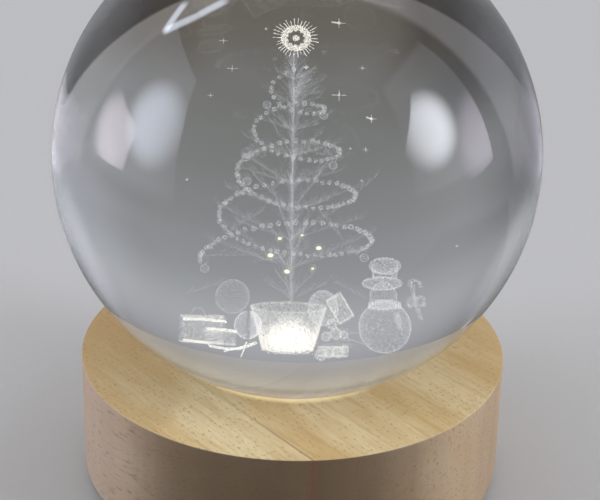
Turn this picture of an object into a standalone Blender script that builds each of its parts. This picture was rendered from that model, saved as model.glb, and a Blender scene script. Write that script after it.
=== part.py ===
"""Crystal ball lamp: a solid glass ball that rests on a turned wooden light base.

Metres, +Z up. The origin is the centre of the surface that the lamp stands on,
the front is -Y, and the power inlet and the push button are at the rear, +Y.
"""

import math

import bmesh
import bpy
from mathutils import Matrix, Vector

# Sizes of the whole lamp
BALL_RADIUS = 0.0400
BASE_RADIUS = 0.03625
BASE_HEIGHT = 0.0220
FOOT_PROUD = 0.0010

# Clearances and overruns
FIT_GAP = 0.0003
SEAT_GAP = 0.0002
SOLDER_GAP = 0.0001
OVERRUN = 0.0010
WELD_DISTANCE = 0.0000005

# Wooden base, from the rim inwards: rim, cover ledge, seat, and rear bay and window
RIM_THICKNESS = 0.00325
COVER_LEDGE = 0.0045
SEAT_LAND = 0.0005
HEADROOM = 0.0008
TOP_BREAK = 0.0003
BASE_ROUND = 0.0018
BAY_DEPTH = 0.0015
WINDOW_WALL = 0.0020
WINDOW_LEDGE = 0.0012
WINDOW_MARGIN = 0.0009

# Bottom cover, its posts, pegs and locating rib
COVER_THICKNESS = 0.0020
POST_RADIUS = 0.0026
POST_MARGIN = 0.001025
POST_COUNT = 4
RIB_THICKNESS = 0.0008
RIB_HEIGHT = 0.0009
BOSS_RADIUS = 0.0017
BOSS_HEIGHT = 0.0011
PEG_RADIUS = 0.0008
COVER_EDGE_BREAK = 0.0003

# Rubber feet
FOOT_RADIUS = 0.0040
FOOT_MARGIN = 0.0022
FOOT_RECESS = 0.0005
FOOT_ROUND = 0.0004
FOOT_COUNT = 4

# Screws
COVER_SCREW_RADIUS = 0.0010
COVER_SCREW_HEAD_RADIUS = 0.0020
COVER_SCREW_HEAD_HEIGHT = 0.0011
COVER_SCREW_GRIP = 0.0055
BOARD_SCREW_RADIUS = 0.0009
BOARD_SCREW_HEAD_RADIUS = 0.0015
BOARD_SCREW_HEAD_HEIGHT = 0.0010
BOARD_SCREW_GRIP = 0.0050
BOARD_SCREW_COUNT = 3
SMALL_SCREW_RADIUS = 0.0006
SMALL_SCREW_HEAD_RADIUS = 0.0012
SMALL_SCREW_HEAD_HEIGHT = 0.0007
SMALL_SCREW_GRIP = 0.0020
SCREW_POINT = 0.0012

# Light board with its six light sources
LED_BOARD_LAP = 0.0036
LED_BOARD_THICKNESS = 0.0012
LED_CIRCLE_SHARE = 0.64
LED_COUNT = 6
LED_TURN_DEGREES = 13.2
LED_LENGTH = 0.0035
LED_WIDTH = 0.0028
LED_HEIGHT = 0.00075
LED_RIM = 0.00045
LED_CUP_DEPTH = 0.0004
LED_FILL_GAP = 0.00005
LED_RESISTOR_SHARE = 0.38

# Small soldered parts
RESISTOR_LENGTH = 0.0020
RESISTOR_WIDTH = 0.00125
RESISTOR_HEIGHT = 0.0005
CAPACITOR_LENGTH = 0.0035
CAPACITOR_WIDTH = 0.0028
CAPACITOR_HEIGHT = 0.0019

# Control board
CONTROL_BOARD_MARGIN = 0.00093
CONTROL_BOARD_ROW = 0.0083
CONTROL_BOARD_THICKNESS = 0.0012
CONTROL_BOARD_CORNER = 0.0010
BOSS_EDGE = 0.0022

# Push switch, its stem and the button cap
BUTTON_X = 0.0049
SWITCH_WIDTH = 0.0056
SWITCH_LENGTH = 0.0050
SWITCH_HEIGHT = 0.0050
SWITCH_SETBACK = 0.0027
SWITCH_EDGE_BREAK = 0.0003
STEM_SIDE = 0.0020
STEM_HOLD = 0.0022
BUTTON_TRAVEL = 0.0010
TERMINAL_RADIUS = 0.00035
TERMINAL_PROUD = 0.0005
TERMINAL_ROW = 0.0020
TERMINAL_PITCH = 0.0018
CAP_RADIUS = 0.0022
CAP_LIP = 0.0003
CAP_LIP_THICKNESS = 0.0008
CAP_PROUD = 0.0006
CAP_ROUND = 0.0006
CAP_SOCKET_DEPTH = 0.0030

# Power inlet: drawn sleeve, insulator with its tongue, contact strips
INLET_X = -0.0044
SHELL_WIDTH = 0.00894
SHELL_HEIGHT = 0.00316
SHELL_WALL = 0.0003
SHELL_LENGTH = 0.0102
SHELL_RECESS = 0.0002
LEG_LENGTH = 0.0012
LEG_PROUD = 0.0005
LEG_ROW_SHARES = (0.06, 0.63)
INSULATOR_TAIL = 0.0010
INSULATOR_DEPTH = 0.0035
TONGUE_WIDTH = 0.00669
TONGUE_THICKNESS = 0.0007
TONGUE_RECESS = 0.0006
CONTACT_WIDTH = 0.0005
CONTACT_PITCH = 0.0016
CONTACT_THICKNESS = 0.00012
CONTACT_COUNT = 3

# Rear bezel
BEZEL_SINK = 0.0003

# Leads between the two boards
LEAD_RADIUS = 0.00055
LEAD_STEP = 0.0016
LEAD_PAD_X = 0.0017
LEAD_PAD_EDGE = 0.0026

# The leads' way across, along and up, in shares of the light circle and the free height
LEAD_ROUTE_SHARES = (
    (0.24, 1.2, 1.0),
    (0.75, 0.6, 0.5),
    (1.0, 0.0, 0.0),
    (0.9, -0.5, 0.0),
    (0.62, -0.8, 0.5),
    (0.5, -0.8, 1.0),
)

# Picture in the glass: a fir tree in a tub with gifts, round ornaments and a snowman.
# Its places are (across, back, up) from the ball's centre, in shares of its height.
PICTURE_HEIGHT = 0.0390
VENT_RADIUS = 0.0003
TRUNK_LOW_SHARES = (-0.007, 0.003, -0.450)
TRUNK_TOP_SHARES = (-0.015, 0.001, 0.340)
TRUNK_RADIUS_SHARES = (0.0115, 0.0050)
TOPPER_SHARES = (-0.011, 0.0, 0.370)
TOPPER_RADIUS_SHARES = (0.071, 0.042)
TOPPER_THICKNESS_SHARE = 0.020
TOPPER_RAYS = 12
TREE_DEPTH_SHARE = 0.6
TIER_COUNT = 8
TIER_BRANCHES = 6
TIER_TURN_DEGREES = 37
TIER_TOP_SHARES = (0.235, 0.050)
TIER_LOW_SHARES = (-0.330, 0.235)
BRANCH_RISE_SHARE = 0.4
BRANCH_RADIUS_SHARE = 0.0070
GARLAND_RADIUS_SHARE = 0.0075
GARLAND_TOP_SHARES = (0.237, 0.0435)
GARLAND_LOW_SHARES = (-0.318, 0.2395)
GARLAND_TURNS = 4.25
TUB_SHARES = (-0.013, 0.0, -0.440)
TUB_PROFILE_SHARES = ((0.0, -0.116), (0.067, -0.116), (0.082, -0.016), (0.094, -0.016),
                      (0.094, 0.004), (0.0, 0.004))
ORNAMENT_SHARES = ((-0.158, -0.013, -0.414, 0.046), (-0.116, -0.013, -0.481, 0.036))
GIFT_SHARES = (((-0.222, -0.013, -0.510), (0.150, 0.090, 0.056), 8, 0),
               ((-0.222, 0.006, -0.468), (0.108, 0.070, 0.030), -6, 0),
               ((0.100, -0.015, -0.436), (0.054, 0.046, 0.062), 20, 28),
               ((0.076, -0.020, -0.528), (0.062, 0.046, 0.046), -15, 0))
TWIG_SHARES = ((0.055, -0.010, -0.470), (0.195, 0.005, -0.520))
SNOWMAN_SHARES = (0.239, 0.0, -0.482)
SNOWMAN_PROFILE_SHARES = ((0.0, -0.068), (0.034, -0.059), (0.059, -0.034), (0.068, 0.0),
                          (0.060, 0.032), (0.037, 0.060), (0.041, 0.072), (0.037, 0.100),
                          (0.033, 0.110), (0.054, 0.114), (0.054, 0.121), (0.038, 0.124),
                          (0.044, 0.186), (0.0, 0.186))
CANE_SHARES = ((0.290, 0.012, -0.485), (0.313, 0.012, -0.400), (0.325, 0.011, -0.357),
               (0.341, 0.010, -0.387))
CANE_RADIUS_SHARE = 0.006

# Facets
BALL_SEGMENTS = 44
BALL_RINGS = 22
BASE_SEGMENTS = 72
ROUND_SEGMENTS = 40
POST_SEGMENTS = 16
SMALL_SEGMENTS = 12
PIN_SEGMENTS = 8
FOOT_SEGMENTS = 16
CAP_SEGMENTS = 20
PICTURE_SEGMENTS = 10
ORNAMENT_RINGS = 6
BRANCH_SIDES = 3
GARLAND_STEPS = 12
ARC_STEPS = 5
SMOOTH_ANGLE = math.radians(35)
QUARTER_TURN = math.radians(90)

# Heights, from the surface that the lamp stands on. The roof clears the switch below it.
wood_bottom_z = FOOT_PROUD
wood_top_z = wood_bottom_z + BASE_HEIGHT
cover_top_z = wood_bottom_z + COVER_THICKNESS
rebate_z = cover_top_z + FIT_GAP
control_board_z = cover_top_z + BOSS_HEIGHT + FIT_GAP
control_board_top_z = control_board_z + CONTROL_BOARD_THICKNESS
part_z = control_board_top_z + SOLDER_GAP
rear_axis_z = part_z + SWITCH_HEIGHT / 2
roof_z = part_z + SWITCH_HEIGHT + HEADROOM
led_board_top_z = roof_z - FIT_GAP
led_board_z = led_board_top_z - LED_BOARD_THICKNESS
led_z = led_board_top_z + SOLDER_GAP

# Circles of the base, from the outside in: rim, ledge, screw posts, light board, well
rebate_radius = BASE_RADIUS - RIM_THICKNESS
cover_radius = rebate_radius - FIT_GAP
foot_circle = cover_radius - FOOT_MARGIN - FOOT_RADIUS
pocket_radius = rebate_radius - COVER_LEDGE
rib_radius = pocket_radius - FIT_GAP
post_circle = pocket_radius - POST_MARGIN - POST_RADIUS
led_board_radius = post_circle - POST_RADIUS - POST_MARGIN
well_wall_radius = led_board_radius - LED_BOARD_LAP
well_radius = well_wall_radius + SEAT_LAND
led_screw_circle = (well_wall_radius + led_board_radius) / 2
led_circle = LED_CIRCLE_SHARE * well_wall_radius
led_resistor_circle = LED_RESISTOR_SHARE * well_wall_radius

# The seat is a narrow cone that the ball touches along the middle of its land
seat_radius = well_radius - SEAT_LAND / 2
seat_tilt = math.asin(seat_radius / (BALL_RADIUS + SEAT_GAP))
seat_drop = SEAT_LAND * math.tan(seat_tilt)
ball_centre_z = wood_top_z - seat_drop / 2 + (BALL_RADIUS + SEAT_GAP) * math.cos(seat_tilt)

# Reaches towards the rear, which the bay, the window and the two boards' parts follow
bay_reach = pocket_radius + BAY_DEPTH
window_reach = bay_reach + WINDOW_WALL
control_board_rear_y = bay_reach - FIT_GAP
switch_front_y = control_board_rear_y - SWITCH_SETBACK
control_board_front_y = switch_front_y - SWITCH_LENGTH - CONTROL_BOARD_ROW
switch_bore_depth = STEM_HOLD + BUTTON_TRAVEL + FIT_GAP
cap_hole_radius = CAP_RADIUS + FIT_GAP
cap_lip_radius = cap_hole_radius + CAP_LIP
slot_half_height = cap_lip_radius + FIT_GAP
shell_side_x = abs(INLET_X) + SHELL_WIDTH / 2
slot_half_width = shell_side_x + WINDOW_MARGIN
control_board_half = shell_side_x + CONTROL_BOARD_MARGIN
window_half_height = slot_half_height + WINDOW_LEDGE
window_half_width = slot_half_width + WINDOW_LEDGE
bezel_back_y = window_reach + FIT_GAP
bezel_face_radius = BASE_RADIUS - BEZEL_SINK
shell_front_y = math.sqrt(bezel_face_radius ** 2 - shell_side_x ** 2) - SHELL_RECESS
shell_rear_y = shell_front_y - SHELL_LENGTH
cap_top_y = math.sqrt(BASE_RADIUS ** 2 - BUTTON_X ** 2) + CAP_PROUD
cap_lip_y = bezel_back_y - FIT_GAP - CAP_LIP_THICKNESS
cap_skirt_y = switch_front_y + BUTTON_TRAVEL + FIT_GAP
stem_front_y = cap_skirt_y + CAP_SOCKET_DEPTH - FIT_GAP
stem_rear_y = switch_front_y - STEM_HOLD


def material(name, colour, roughness, metallic=0.0, transmission=0.0):
    """A plain material with the piece's own colour and gloss."""
    made = bpy.data.materials.new(name)
    made.use_nodes = True
    shader = made.node_tree.nodes["Principled BSDF"]
    shader.inputs["Base Color"].default_value = (*colour, 1.0)
    shader.inputs["Roughness"].default_value = roughness
    shader.inputs["Metallic"].default_value = metallic
    shader.inputs["Transmission Weight"].default_value = transmission
    return made


def finished(bm, name, look=None):
    """Weld and orient a bmesh, shade it and link it as a named object."""
    bmesh.ops.remove_doubles(bm, verts=bm.verts, dist=WELD_DISTANCE)
    bmesh.ops.recalc_face_normals(bm, faces=bm.faces)
    mesh = bpy.data.meshes.new(name)
    bm.to_mesh(mesh)
    bm.free()
    mesh.shade_smooth()
    mesh.set_sharp_from_angle(angle=SMOOTH_ANGLE)
    obj = bpy.data.objects.new(name, mesh)
    bpy.context.scene.collection.objects.link(obj)
    if look:
        mesh.materials.append(look)
    return obj


def helper(obj):
    """Mark an object as a cutter or an added form, which is no piece by itself."""
    obj.hide_render = True
    obj.display_type = "WIRE"
    return obj


def combine(target, other, operation):
    """Cut, join or trim the target with a helper form."""
    modifier = target.modifiers.new(other.name, "BOOLEAN")
    modifier.operation = operation
    modifier.solver = "EXACT"
    modifier.object = helper(other)


def arc(centre, radius, start_degrees, end_degrees, steps=ARC_STEPS):
    """Points along an arc of a profile, both ends included."""
    points = []
    for step in range(steps + 1):
        angle = math.radians(start_degrees + (end_degrees - start_degrees) * step / steps)
        points.append((centre[0] + radius * math.cos(angle), centre[1] + radius * math.sin(angle)))
    return points


def add_turned(bm, profile, segments, centre=(0, 0)):
    """Spin a profile of (radius, height) points round a vertical axis."""
    verts = [bm.verts.new((radius, 0, height)) for radius, height in profile]
    edges = [bm.edges.new(pair) for pair in zip(verts, verts[1:])]
    if all(radius > 0 for radius, height in profile):
        edges.append(bm.edges.new((verts[-1], verts[0])))
    before = set(bm.verts) - set(verts)
    bmesh.ops.spin(bm, geom=verts + edges, cent=(0, 0, 0), axis=(0, 0, 1), dvec=(0, 0, 0),
                   angle=math.tau, steps=segments, use_merge=True)
    spun = [vert for vert in bm.verts if vert not in before]
    bmesh.ops.translate(bm, verts=spun, vec=(*centre, 0))


def turned(name, profile, segments, look=None):
    """A single turned piece on the lamp's own axis."""
    bm = bmesh.new()
    add_turned(bm, profile, segments)
    return finished(bm, name, look)


def add_box(bm, low, high, turn=None):
    """A box between two corners, optionally turned by a matrix."""
    size = [b - a for a, b in zip(low, high)]
    middle = [(a + b) / 2 for a, b in zip(low, high)]
    place = Matrix.Translation(middle) @ Matrix.Diagonal((*size, 1.0))
    made = bmesh.ops.create_cube(bm, size=1, matrix=turn @ place if turn else place)
    return made["verts"]


def add_prism(bm, outline, low, high, along_y=False):
    """Extrude an outline upwards, or towards the rear when along_y is set."""
    if along_y:
        verts = [bm.verts.new((x, low, z)) for x, z in outline]
    else:
        verts = [bm.verts.new((x, y, low)) for x, y in outline]
    face = bm.faces.new(verts)
    grown = bmesh.ops.extrude_face_region(bm, geom=[face])["geom"]
    lifted = [item for item in grown if isinstance(item, bmesh.types.BMVert)]
    shift = (0, high - low, 0) if along_y else (0, 0, high - low)
    bmesh.ops.translate(bm, verts=lifted, vec=shift)


def obround(half_width, half_height, centre):
    """A slot outline with round ends, centred on a point."""
    straight = half_width - half_height
    right = arc((centre[0] + straight, centre[1]), half_height, -90, 90, 2 * ARC_STEPS)
    left = arc((centre[0] - straight, centre[1]), half_height, 90, 270, 2 * ARC_STEPS)
    return right + left


def circle_places(radius, count, first_degrees):
    """Centres evenly spaced on a circle, with the angle of each."""
    places = []
    for index in range(count):
        angle = math.radians(first_degrees + 360 * index / count)
        places.append((radius * math.cos(angle), radius * math.sin(angle), angle))
    return places


def rods(name, places, radius, low, high, segments=SMALL_SEGMENTS):
    """Upright cylinders at several places, as one helper form."""
    bm = bmesh.new()
    for place in places:
        add_turned(bm, [(0, low), (radius, low), (radius, high), (0, high)], segments, place[:2])
    return finished(bm, name)


def turned_copies(name, profile, places, segments, look):
    """The same upright turned piece at several places, each an object of its own."""
    for number, place in enumerate(places, 1):
        bm = bmesh.new()
        add_turned(bm, profile, segments, place[:2])
        finished(bm, f"{name}_{number}", look)


def screw_profile(radius, head_radius, head_low, head_high, tip, countersunk):
    """Half profile of a pointed wood screw that is driven upwards."""
    neck = radius if countersunk else head_radius
    return [(0, head_low), (head_radius, head_low), (neck, head_high), (radius, head_high),
            (radius, tip - SCREW_POINT), (0, tip)]


# Where repeated pieces stand
cover_posts = circle_places(post_circle, POST_COUNT, 45)
led_screw_places = circle_places(led_screw_circle, BOARD_SCREW_COUNT, -90)
foot_places = circle_places(foot_circle, FOOT_COUNT, 0)
led_places = circle_places(led_circle, LED_COUNT, LED_TURN_DEGREES)
led_resistor_places = circle_places(led_resistor_circle, LED_COUNT // 2, LED_TURN_DEGREES)
boss_x = control_board_half - BOSS_EDGE
boss_y = control_board_front_y + BOSS_EDGE
boss_places = [(-boss_x, boss_y), (boss_x, boss_y)]
peg_y = control_board_rear_y - PEG_RADIUS
peg_places = [(INLET_X, peg_y), (BUTTON_X, peg_y)]
cover_screw_tip_z = roof_z + COVER_SCREW_GRIP
led_screw_tip_z = roof_z + BOARD_SCREW_GRIP
small_screw_low_z = control_board_top_z + SOLDER_GAP - SMALL_SCREW_GRIP - CONTROL_BOARD_THICKNESS


def crystal_ball():
    """Solid optical glass ball, loose in its seat."""
    look = material("crystal_glass", (0.95, 0.97, 1.0), 0.02, transmission=1.0)
    bm = bmesh.new()
    bmesh.ops.create_uvsphere(bm, u_segments=BALL_SEGMENTS, v_segments=BALL_RINGS,
                              radius=BALL_RADIUS)
    ball = finished(bm, "crystal_ball", look)
    ball.location = (0, 0, ball_centre_z)
    combine(ball, engraved_picture(), "DIFFERENCE")
    ball.modifiers[-1].use_self = True


def picture_place(shares):
    """A place in the picture, from its shares across, back and up."""
    across, back, up = (PICTURE_HEIGHT * share for share in shares)
    return Vector((across, back, ball_centre_z + up))


def add_rod(bm, start, end, start_radius, end_radius, sides):
    """A straight rod, tapered from one end to the other."""
    way = end - start
    turn = way.to_track_quat("Z", "Y").to_matrix().to_4x4()
    bmesh.ops.create_cone(bm, cap_ends=True, segments=sides, radius1=start_radius,
                          radius2=end_radius, depth=way.length,
                          matrix=Matrix.Translation((start + end) / 2) @ turn)


def tube_curve(name, points, radius, resolution):
    """A round rod of one thickness along a line of points, closed at both ends."""
    curve = bpy.data.curves.new(name, "CURVE")
    curve.dimensions = "3D"
    curve.bevel_depth = radius
    curve.bevel_resolution = resolution
    curve.use_fill_caps = True
    spline = curve.splines.new("POLY")
    spline.points.add(len(points) - 1)
    for point, place in zip(spline.points, points):
        point.co = (*place, 1.0)
    return curve


def add_tube(bm, points, radius):
    """Add the same rod to a bmesh, with few sides."""
    holder = bpy.data.objects.new("tube", tube_curve("tube", points, radius, 0))
    bm.from_mesh(holder.to_mesh())
    bpy.data.objects.remove(holder)


def garland_places():
    """Points of the garland, a spiral that widens as it winds down round the tree."""
    count = round(GARLAND_TURNS * GARLAND_STEPS)
    places = []
    for step in range(count + 1):
        share = step / count
        up, reach = (top + (low - top) * share
                     for top, low in zip(GARLAND_TOP_SHARES, GARLAND_LOW_SHARES))
        angle = QUARTER_TURN + math.tau * GARLAND_TURNS * share
        places.append(picture_place((TRUNK_TOP_SHARES[0] + reach * math.cos(angle),
                                     TREE_DEPTH_SHARE * reach * math.sin(angle), up)))
    return places


def add_fir_tree(bm):
    """Trunk, tiers of rising branches, garland and the many-pointed star on the tip."""
    low, top = picture_place(TRUNK_LOW_SHARES), picture_place(TRUNK_TOP_SHARES)
    low_radius, top_radius = (PICTURE_HEIGHT * share for share in TRUNK_RADIUS_SHARES)
    add_rod(bm, low, top, low_radius, top_radius, 2 * BRANCH_SIDES)
    branch_radius = PICTURE_HEIGHT * BRANCH_RADIUS_SHARE
    for tier in range(TIER_COUNT):
        share = tier / (TIER_COUNT - 1)
        up, reach = (high + (deep - high) * share
                     for high, deep in zip(TIER_TOP_SHARES, TIER_LOW_SHARES))
        for branch in range(TIER_BRANCHES):
            angle = math.tau * branch / TIER_BRANCHES
            angle += math.radians(TIER_TURN_DEGREES) * (tier + 1)
            root = picture_place((TRUNK_TOP_SHARES[0], 0, up))
            tip = picture_place((TRUNK_TOP_SHARES[0] + reach * math.cos(angle),
                                 TREE_DEPTH_SHARE * reach * math.sin(angle),
                                 up + BRANCH_RISE_SHARE * reach))
            add_rod(bm, root, tip, branch_radius, branch_radius / 2, BRANCH_SIDES)
    add_tube(bm, garland_places(), PICTURE_HEIGHT * GARLAND_RADIUS_SHARE)
    outline = []
    centre = picture_place(TOPPER_SHARES)
    for index in range(2 * TOPPER_RAYS):
        radius = PICTURE_HEIGHT * TOPPER_RADIUS_SHARES[index % 2]
        angle = math.tau * index / (2 * TOPPER_RAYS)
        outline.append((centre.x + radius * math.cos(angle), centre.z + radius * math.sin(angle)))
    half = PICTURE_HEIGHT * TOPPER_THICKNESS_SHARE / 2
    add_prism(bm, outline, -half, half, True)


def add_picture_turned(bm, place_shares, profile_shares):
    """Spin one of the picture's own profiles round an upright axis at its place."""
    place = picture_place(place_shares)
    profile = [(PICTURE_HEIGHT * radius, place.z + PICTURE_HEIGHT * up)
               for radius, up in profile_shares]
    add_turned(bm, profile, PICTURE_SEGMENTS, place[:2])


def engraved_picture():
    """The picture as one hollow in the glass, with a hair-fine vent over the light well."""
    bm = bmesh.new()
    add_fir_tree(bm)
    add_picture_turned(bm, TUB_SHARES, TUB_PROFILE_SHARES)
    add_picture_turned(bm, SNOWMAN_SHARES, SNOWMAN_PROFILE_SHARES)
    for *shares, radius_share in ORNAMENT_SHARES:
        bmesh.ops.create_uvsphere(bm, u_segments=PICTURE_SEGMENTS, v_segments=ORNAMENT_RINGS,
                                  radius=PICTURE_HEIGHT * radius_share,
                                  matrix=Matrix.Translation(picture_place(shares)))
    for shares, size_shares, turn_degrees, lean_degrees in GIFT_SHARES:
        half = [PICTURE_HEIGHT * share / 2 for share in size_shares]
        stand = Matrix.Translation(picture_place(shares))
        stand = stand @ Matrix.Rotation(math.radians(lean_degrees), 4, "Y")
        stand = stand @ Matrix.Rotation(math.radians(turn_degrees), 4, "Z")
        add_box(bm, [-value for value in half], half, stand)
    thin = PICTURE_HEIGHT * CANE_RADIUS_SHARE
    add_rod(bm, picture_place(TWIG_SHARES[0]), picture_place(TWIG_SHARES[1]), thin, thin,
            BRANCH_SIDES)
    add_tube(bm, [picture_place(shares) for shares in CANE_SHARES], thin)
    tub = picture_place(TUB_SHARES)
    below = Vector((tub.x, tub.y, ball_centre_z - BALL_RADIUS - OVERRUN))
    add_rod(bm, tub, below, VENT_RADIUS, VENT_RADIUS, BRANCH_SIDES)
    return finished(bm, "engraved_picture")


def wooden_base():
    """Turned rubberwood disc with seat, light well, pocket, bay and rear window."""
    look = material("rubberwood", (0.74, 0.58, 0.40), 0.55)
    top_corner = (BASE_RADIUS - TOP_BREAK, wood_top_z - TOP_BREAK)
    low_corner = (BASE_RADIUS - BASE_ROUND, wood_bottom_z + BASE_ROUND)
    profile = [(well_radius, wood_top_z)]
    profile += arc(top_corner, TOP_BREAK, 90, 0, 2)
    profile += arc(low_corner, BASE_ROUND, 0, -90)
    profile += [(rebate_radius, wood_bottom_z), (rebate_radius, rebate_z),
                (pocket_radius, rebate_z), (pocket_radius, roof_z),
                (well_wall_radius, roof_z), (well_wall_radius, wood_top_z - seat_drop)]
    base = turned("wooden_base", profile, BASE_SEGMENTS, look)
    combine(base, bay_cutter(), "DIFFERENCE")
    combine(base, window_cutter("window_recess", window_half_width, window_half_height,
                                window_reach, BASE_RADIUS + OVERRUN), "DIFFERENCE")
    combine(base, window_cutter("window_slot", slot_half_width, slot_half_height,
                                bay_reach - OVERRUN, window_reach + OVERRUN), "DIFFERENCE")
    pilots = rods("cover_pilots", cover_posts, COVER_SCREW_RADIUS + FIT_GAP,
                  roof_z - OVERRUN, cover_screw_tip_z + FIT_GAP)
    combine(base, pilots, "DIFFERENCE")
    pilots = rods("board_pilots", led_screw_places, BOARD_SCREW_RADIUS + FIT_GAP,
                  roof_z - OVERRUN, led_screw_tip_z + FIT_GAP)
    combine(base, pilots, "DIFFERENCE")


def bay_cutter():
    """Milled bay that carries the pocket on to the rear wall, for the control board."""
    half = control_board_half + FIT_GAP
    bm = bmesh.new()
    add_box(bm, (-half, 0, rebate_z - OVERRUN), (half, bay_reach, roof_z))
    return finished(bm, "rear_bay")


def window_cutter(name, half_width, half_height, low_y, high_y):
    """Round-ended cut through the rear wall, on the height of the inlet and button."""
    bm = bmesh.new()
    add_prism(bm, obround(half_width, half_height, (0, rear_axis_z)), low_y, high_y, True)
    return finished(bm, name)


def bottom_cover():
    """Moulded cover with screw posts, board bosses, pegs and a locating rib."""
    look = material("cover_plastic", (0.03, 0.03, 0.032), 0.5)
    edge = (cover_radius - COVER_EDGE_BREAK, wood_bottom_z)
    cover = turned("bottom_cover", [(0, wood_bottom_z), edge,
                                    (cover_radius, wood_bottom_z + COVER_EDGE_BREAK),
                                    (cover_radius, cover_top_z), (0, cover_top_z)],
                   BASE_SEGMENTS, look)
    root_z = cover_top_z - COVER_THICKNESS / 2
    rib_inner = rib_radius - RIB_THICKNESS
    rib = turned("locating_rib", [(rib_inner, root_z), (rib_radius, root_z),
                                  (rib_radius, cover_top_z + RIB_HEIGHT),
                                  (rib_inner, cover_top_z + RIB_HEIGHT)], ROUND_SEGMENTS)
    combine(cover, rib, "UNION")
    posts = rods("screw_posts", cover_posts, POST_RADIUS, root_z, roof_z - FIT_GAP, POST_SEGMENTS)
    combine(cover, posts, "UNION")
    bosses = rods("board_bosses", boss_places, BOSS_RADIUS, root_z, cover_top_z + BOSS_HEIGHT)
    combine(cover, bosses, "UNION")
    pegs = rods("board_pegs", peg_places, PEG_RADIUS, root_z, cover_top_z + BOSS_HEIGHT)
    combine(cover, pegs, "UNION")
    holes = rods("screw_holes", cover_posts, COVER_SCREW_RADIUS + FIT_GAP,
                 wood_bottom_z - OVERRUN, roof_z)
    combine(cover, holes, "DIFFERENCE")
    combine(cover, countersinks(), "DIFFERENCE")
    holes = rods("boss_holes", boss_places, SMALL_SCREW_RADIUS + FIT_GAP,
                 small_screw_low_z - FIT_GAP, cover_top_z + BOSS_HEIGHT + OVERRUN)
    combine(cover, holes, "DIFFERENCE")
    recesses = rods("foot_recesses", foot_places, FOOT_RADIUS + FIT_GAP,
                    wood_bottom_z - OVERRUN, wood_bottom_z + FOOT_RECESS + FIT_GAP, FOOT_SEGMENTS)
    combine(cover, recesses, "DIFFERENCE")


def countersinks():
    """Cones that sink the cover screws' heads below the cover's face."""
    bm = bmesh.new()
    mouth = COVER_SCREW_HEAD_RADIUS + 2 * FIT_GAP
    throat = COVER_SCREW_RADIUS + FIT_GAP
    top = wood_bottom_z + FIT_GAP + COVER_SCREW_HEAD_HEIGHT + FIT_GAP
    profile = [(0, wood_bottom_z - OVERRUN), (mouth, wood_bottom_z - OVERRUN),
               (mouth, wood_bottom_z + FIT_GAP), (throat, top), (0, top)]
    for place in cover_posts:
        add_turned(bm, profile, POST_SEGMENTS, place[:2])
    return finished(bm, "countersinks")


def cover_screws():
    """Four countersunk screws through the cover's posts into the wooden roof."""
    look = material("screw_steel", (0.62, 0.62, 0.60), 0.3, 1.0)
    low = wood_bottom_z + FIT_GAP
    profile = screw_profile(COVER_SCREW_RADIUS, COVER_SCREW_HEAD_RADIUS, low,
                            low + COVER_SCREW_HEAD_HEIGHT, cover_screw_tip_z, True)
    turned_copies("cover_screw", profile, cover_posts, SMALL_SEGMENTS, look)


def rubber_feet():
    """Four round pads in the cover's recesses, which the lamp stands on."""
    look = material("foot_rubber", (0.05, 0.05, 0.05), 0.8)
    top = wood_bottom_z + FOOT_RECESS
    round_centre = (FOOT_RADIUS - FOOT_ROUND, FOOT_ROUND)
    profile = [(0, 0)] + arc(round_centre, FOOT_ROUND, -90, 0, 3) + [(FOOT_RADIUS, top), (0, top)]
    turned_copies("rubber_foot", profile, foot_places, FOOT_SEGMENTS, look)


def led_board():
    """Round white circuit board that closes the well from below."""
    look = material("white_board", (0.88, 0.88, 0.86), 0.4)
    board = turned("led_board", [(0, led_board_z), (led_board_radius, led_board_z),
                                 (led_board_radius, led_board_top_z), (0, led_board_top_z)],
                   ROUND_SEGMENTS, look)
    holes = rods("led_board_holes", led_screw_places, BOARD_SCREW_RADIUS + FIT_GAP,
                 led_board_z - OVERRUN, led_board_top_z + OVERRUN)
    combine(board, holes, "DIFFERENCE")


def led_board_screws():
    """Three round-headed screws that hold the light board up to the roof."""
    look = material("board_screw_steel", (0.66, 0.62, 0.52), 0.3, 1.0)
    high = led_board_z - SOLDER_GAP
    low = high - BOARD_SCREW_HEAD_HEIGHT
    profile = screw_profile(BOARD_SCREW_RADIUS, BOARD_SCREW_HEAD_RADIUS, low, high,
                            led_screw_tip_z, False)
    turned_copies("led_board_screw", profile, led_screw_places, SMALL_SEGMENTS, look)


def radial_box(name, place, length, width, low_z, high_z, look=None):
    """A box whose length points away from the lamp's axis."""
    turn = Matrix.Translation((place[0], place[1], 0)) @ Matrix.Rotation(place[2], 4, "Z")
    bm = bmesh.new()
    add_box(bm, (-length / 2, -width / 2, low_z), (length / 2, width / 2, high_z), turn)
    return finished(bm, name, look)


def box(name, low, high, look=None):
    """An upright box between two corners, as an object."""
    bm = bmesh.new()
    add_box(bm, low, high)
    return finished(bm, name, look)


def light_sources():
    """Six surface-mount light sources: white cups, and the phosphor that fills them."""
    frame_look = material("led_frame", (0.92, 0.92, 0.90), 0.45)
    fill_look = material("led_phosphor", (0.95, 0.72, 0.18), 0.35)
    top = led_z + LED_HEIGHT
    floor = top - LED_CUP_DEPTH
    cup_length = LED_LENGTH - 2 * LED_RIM
    cup_width = LED_WIDTH - 2 * LED_RIM
    for number, place in enumerate(led_places, 1):
        frame = radial_box(f"led_frame_{number}", place, LED_LENGTH, LED_WIDTH, led_z, top,
                           frame_look)
        cup = radial_box(f"led_cup_{number}", place, cup_length, cup_width, floor, top + OVERRUN)
        combine(frame, cup, "DIFFERENCE")
        radial_box(f"led_phosphor_{number}", place, cup_length - 2 * LED_FILL_GAP,
                   cup_width - 2 * LED_FILL_GAP, floor + LED_FILL_GAP, top - LED_FILL_GAP,
                   fill_look)


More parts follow.
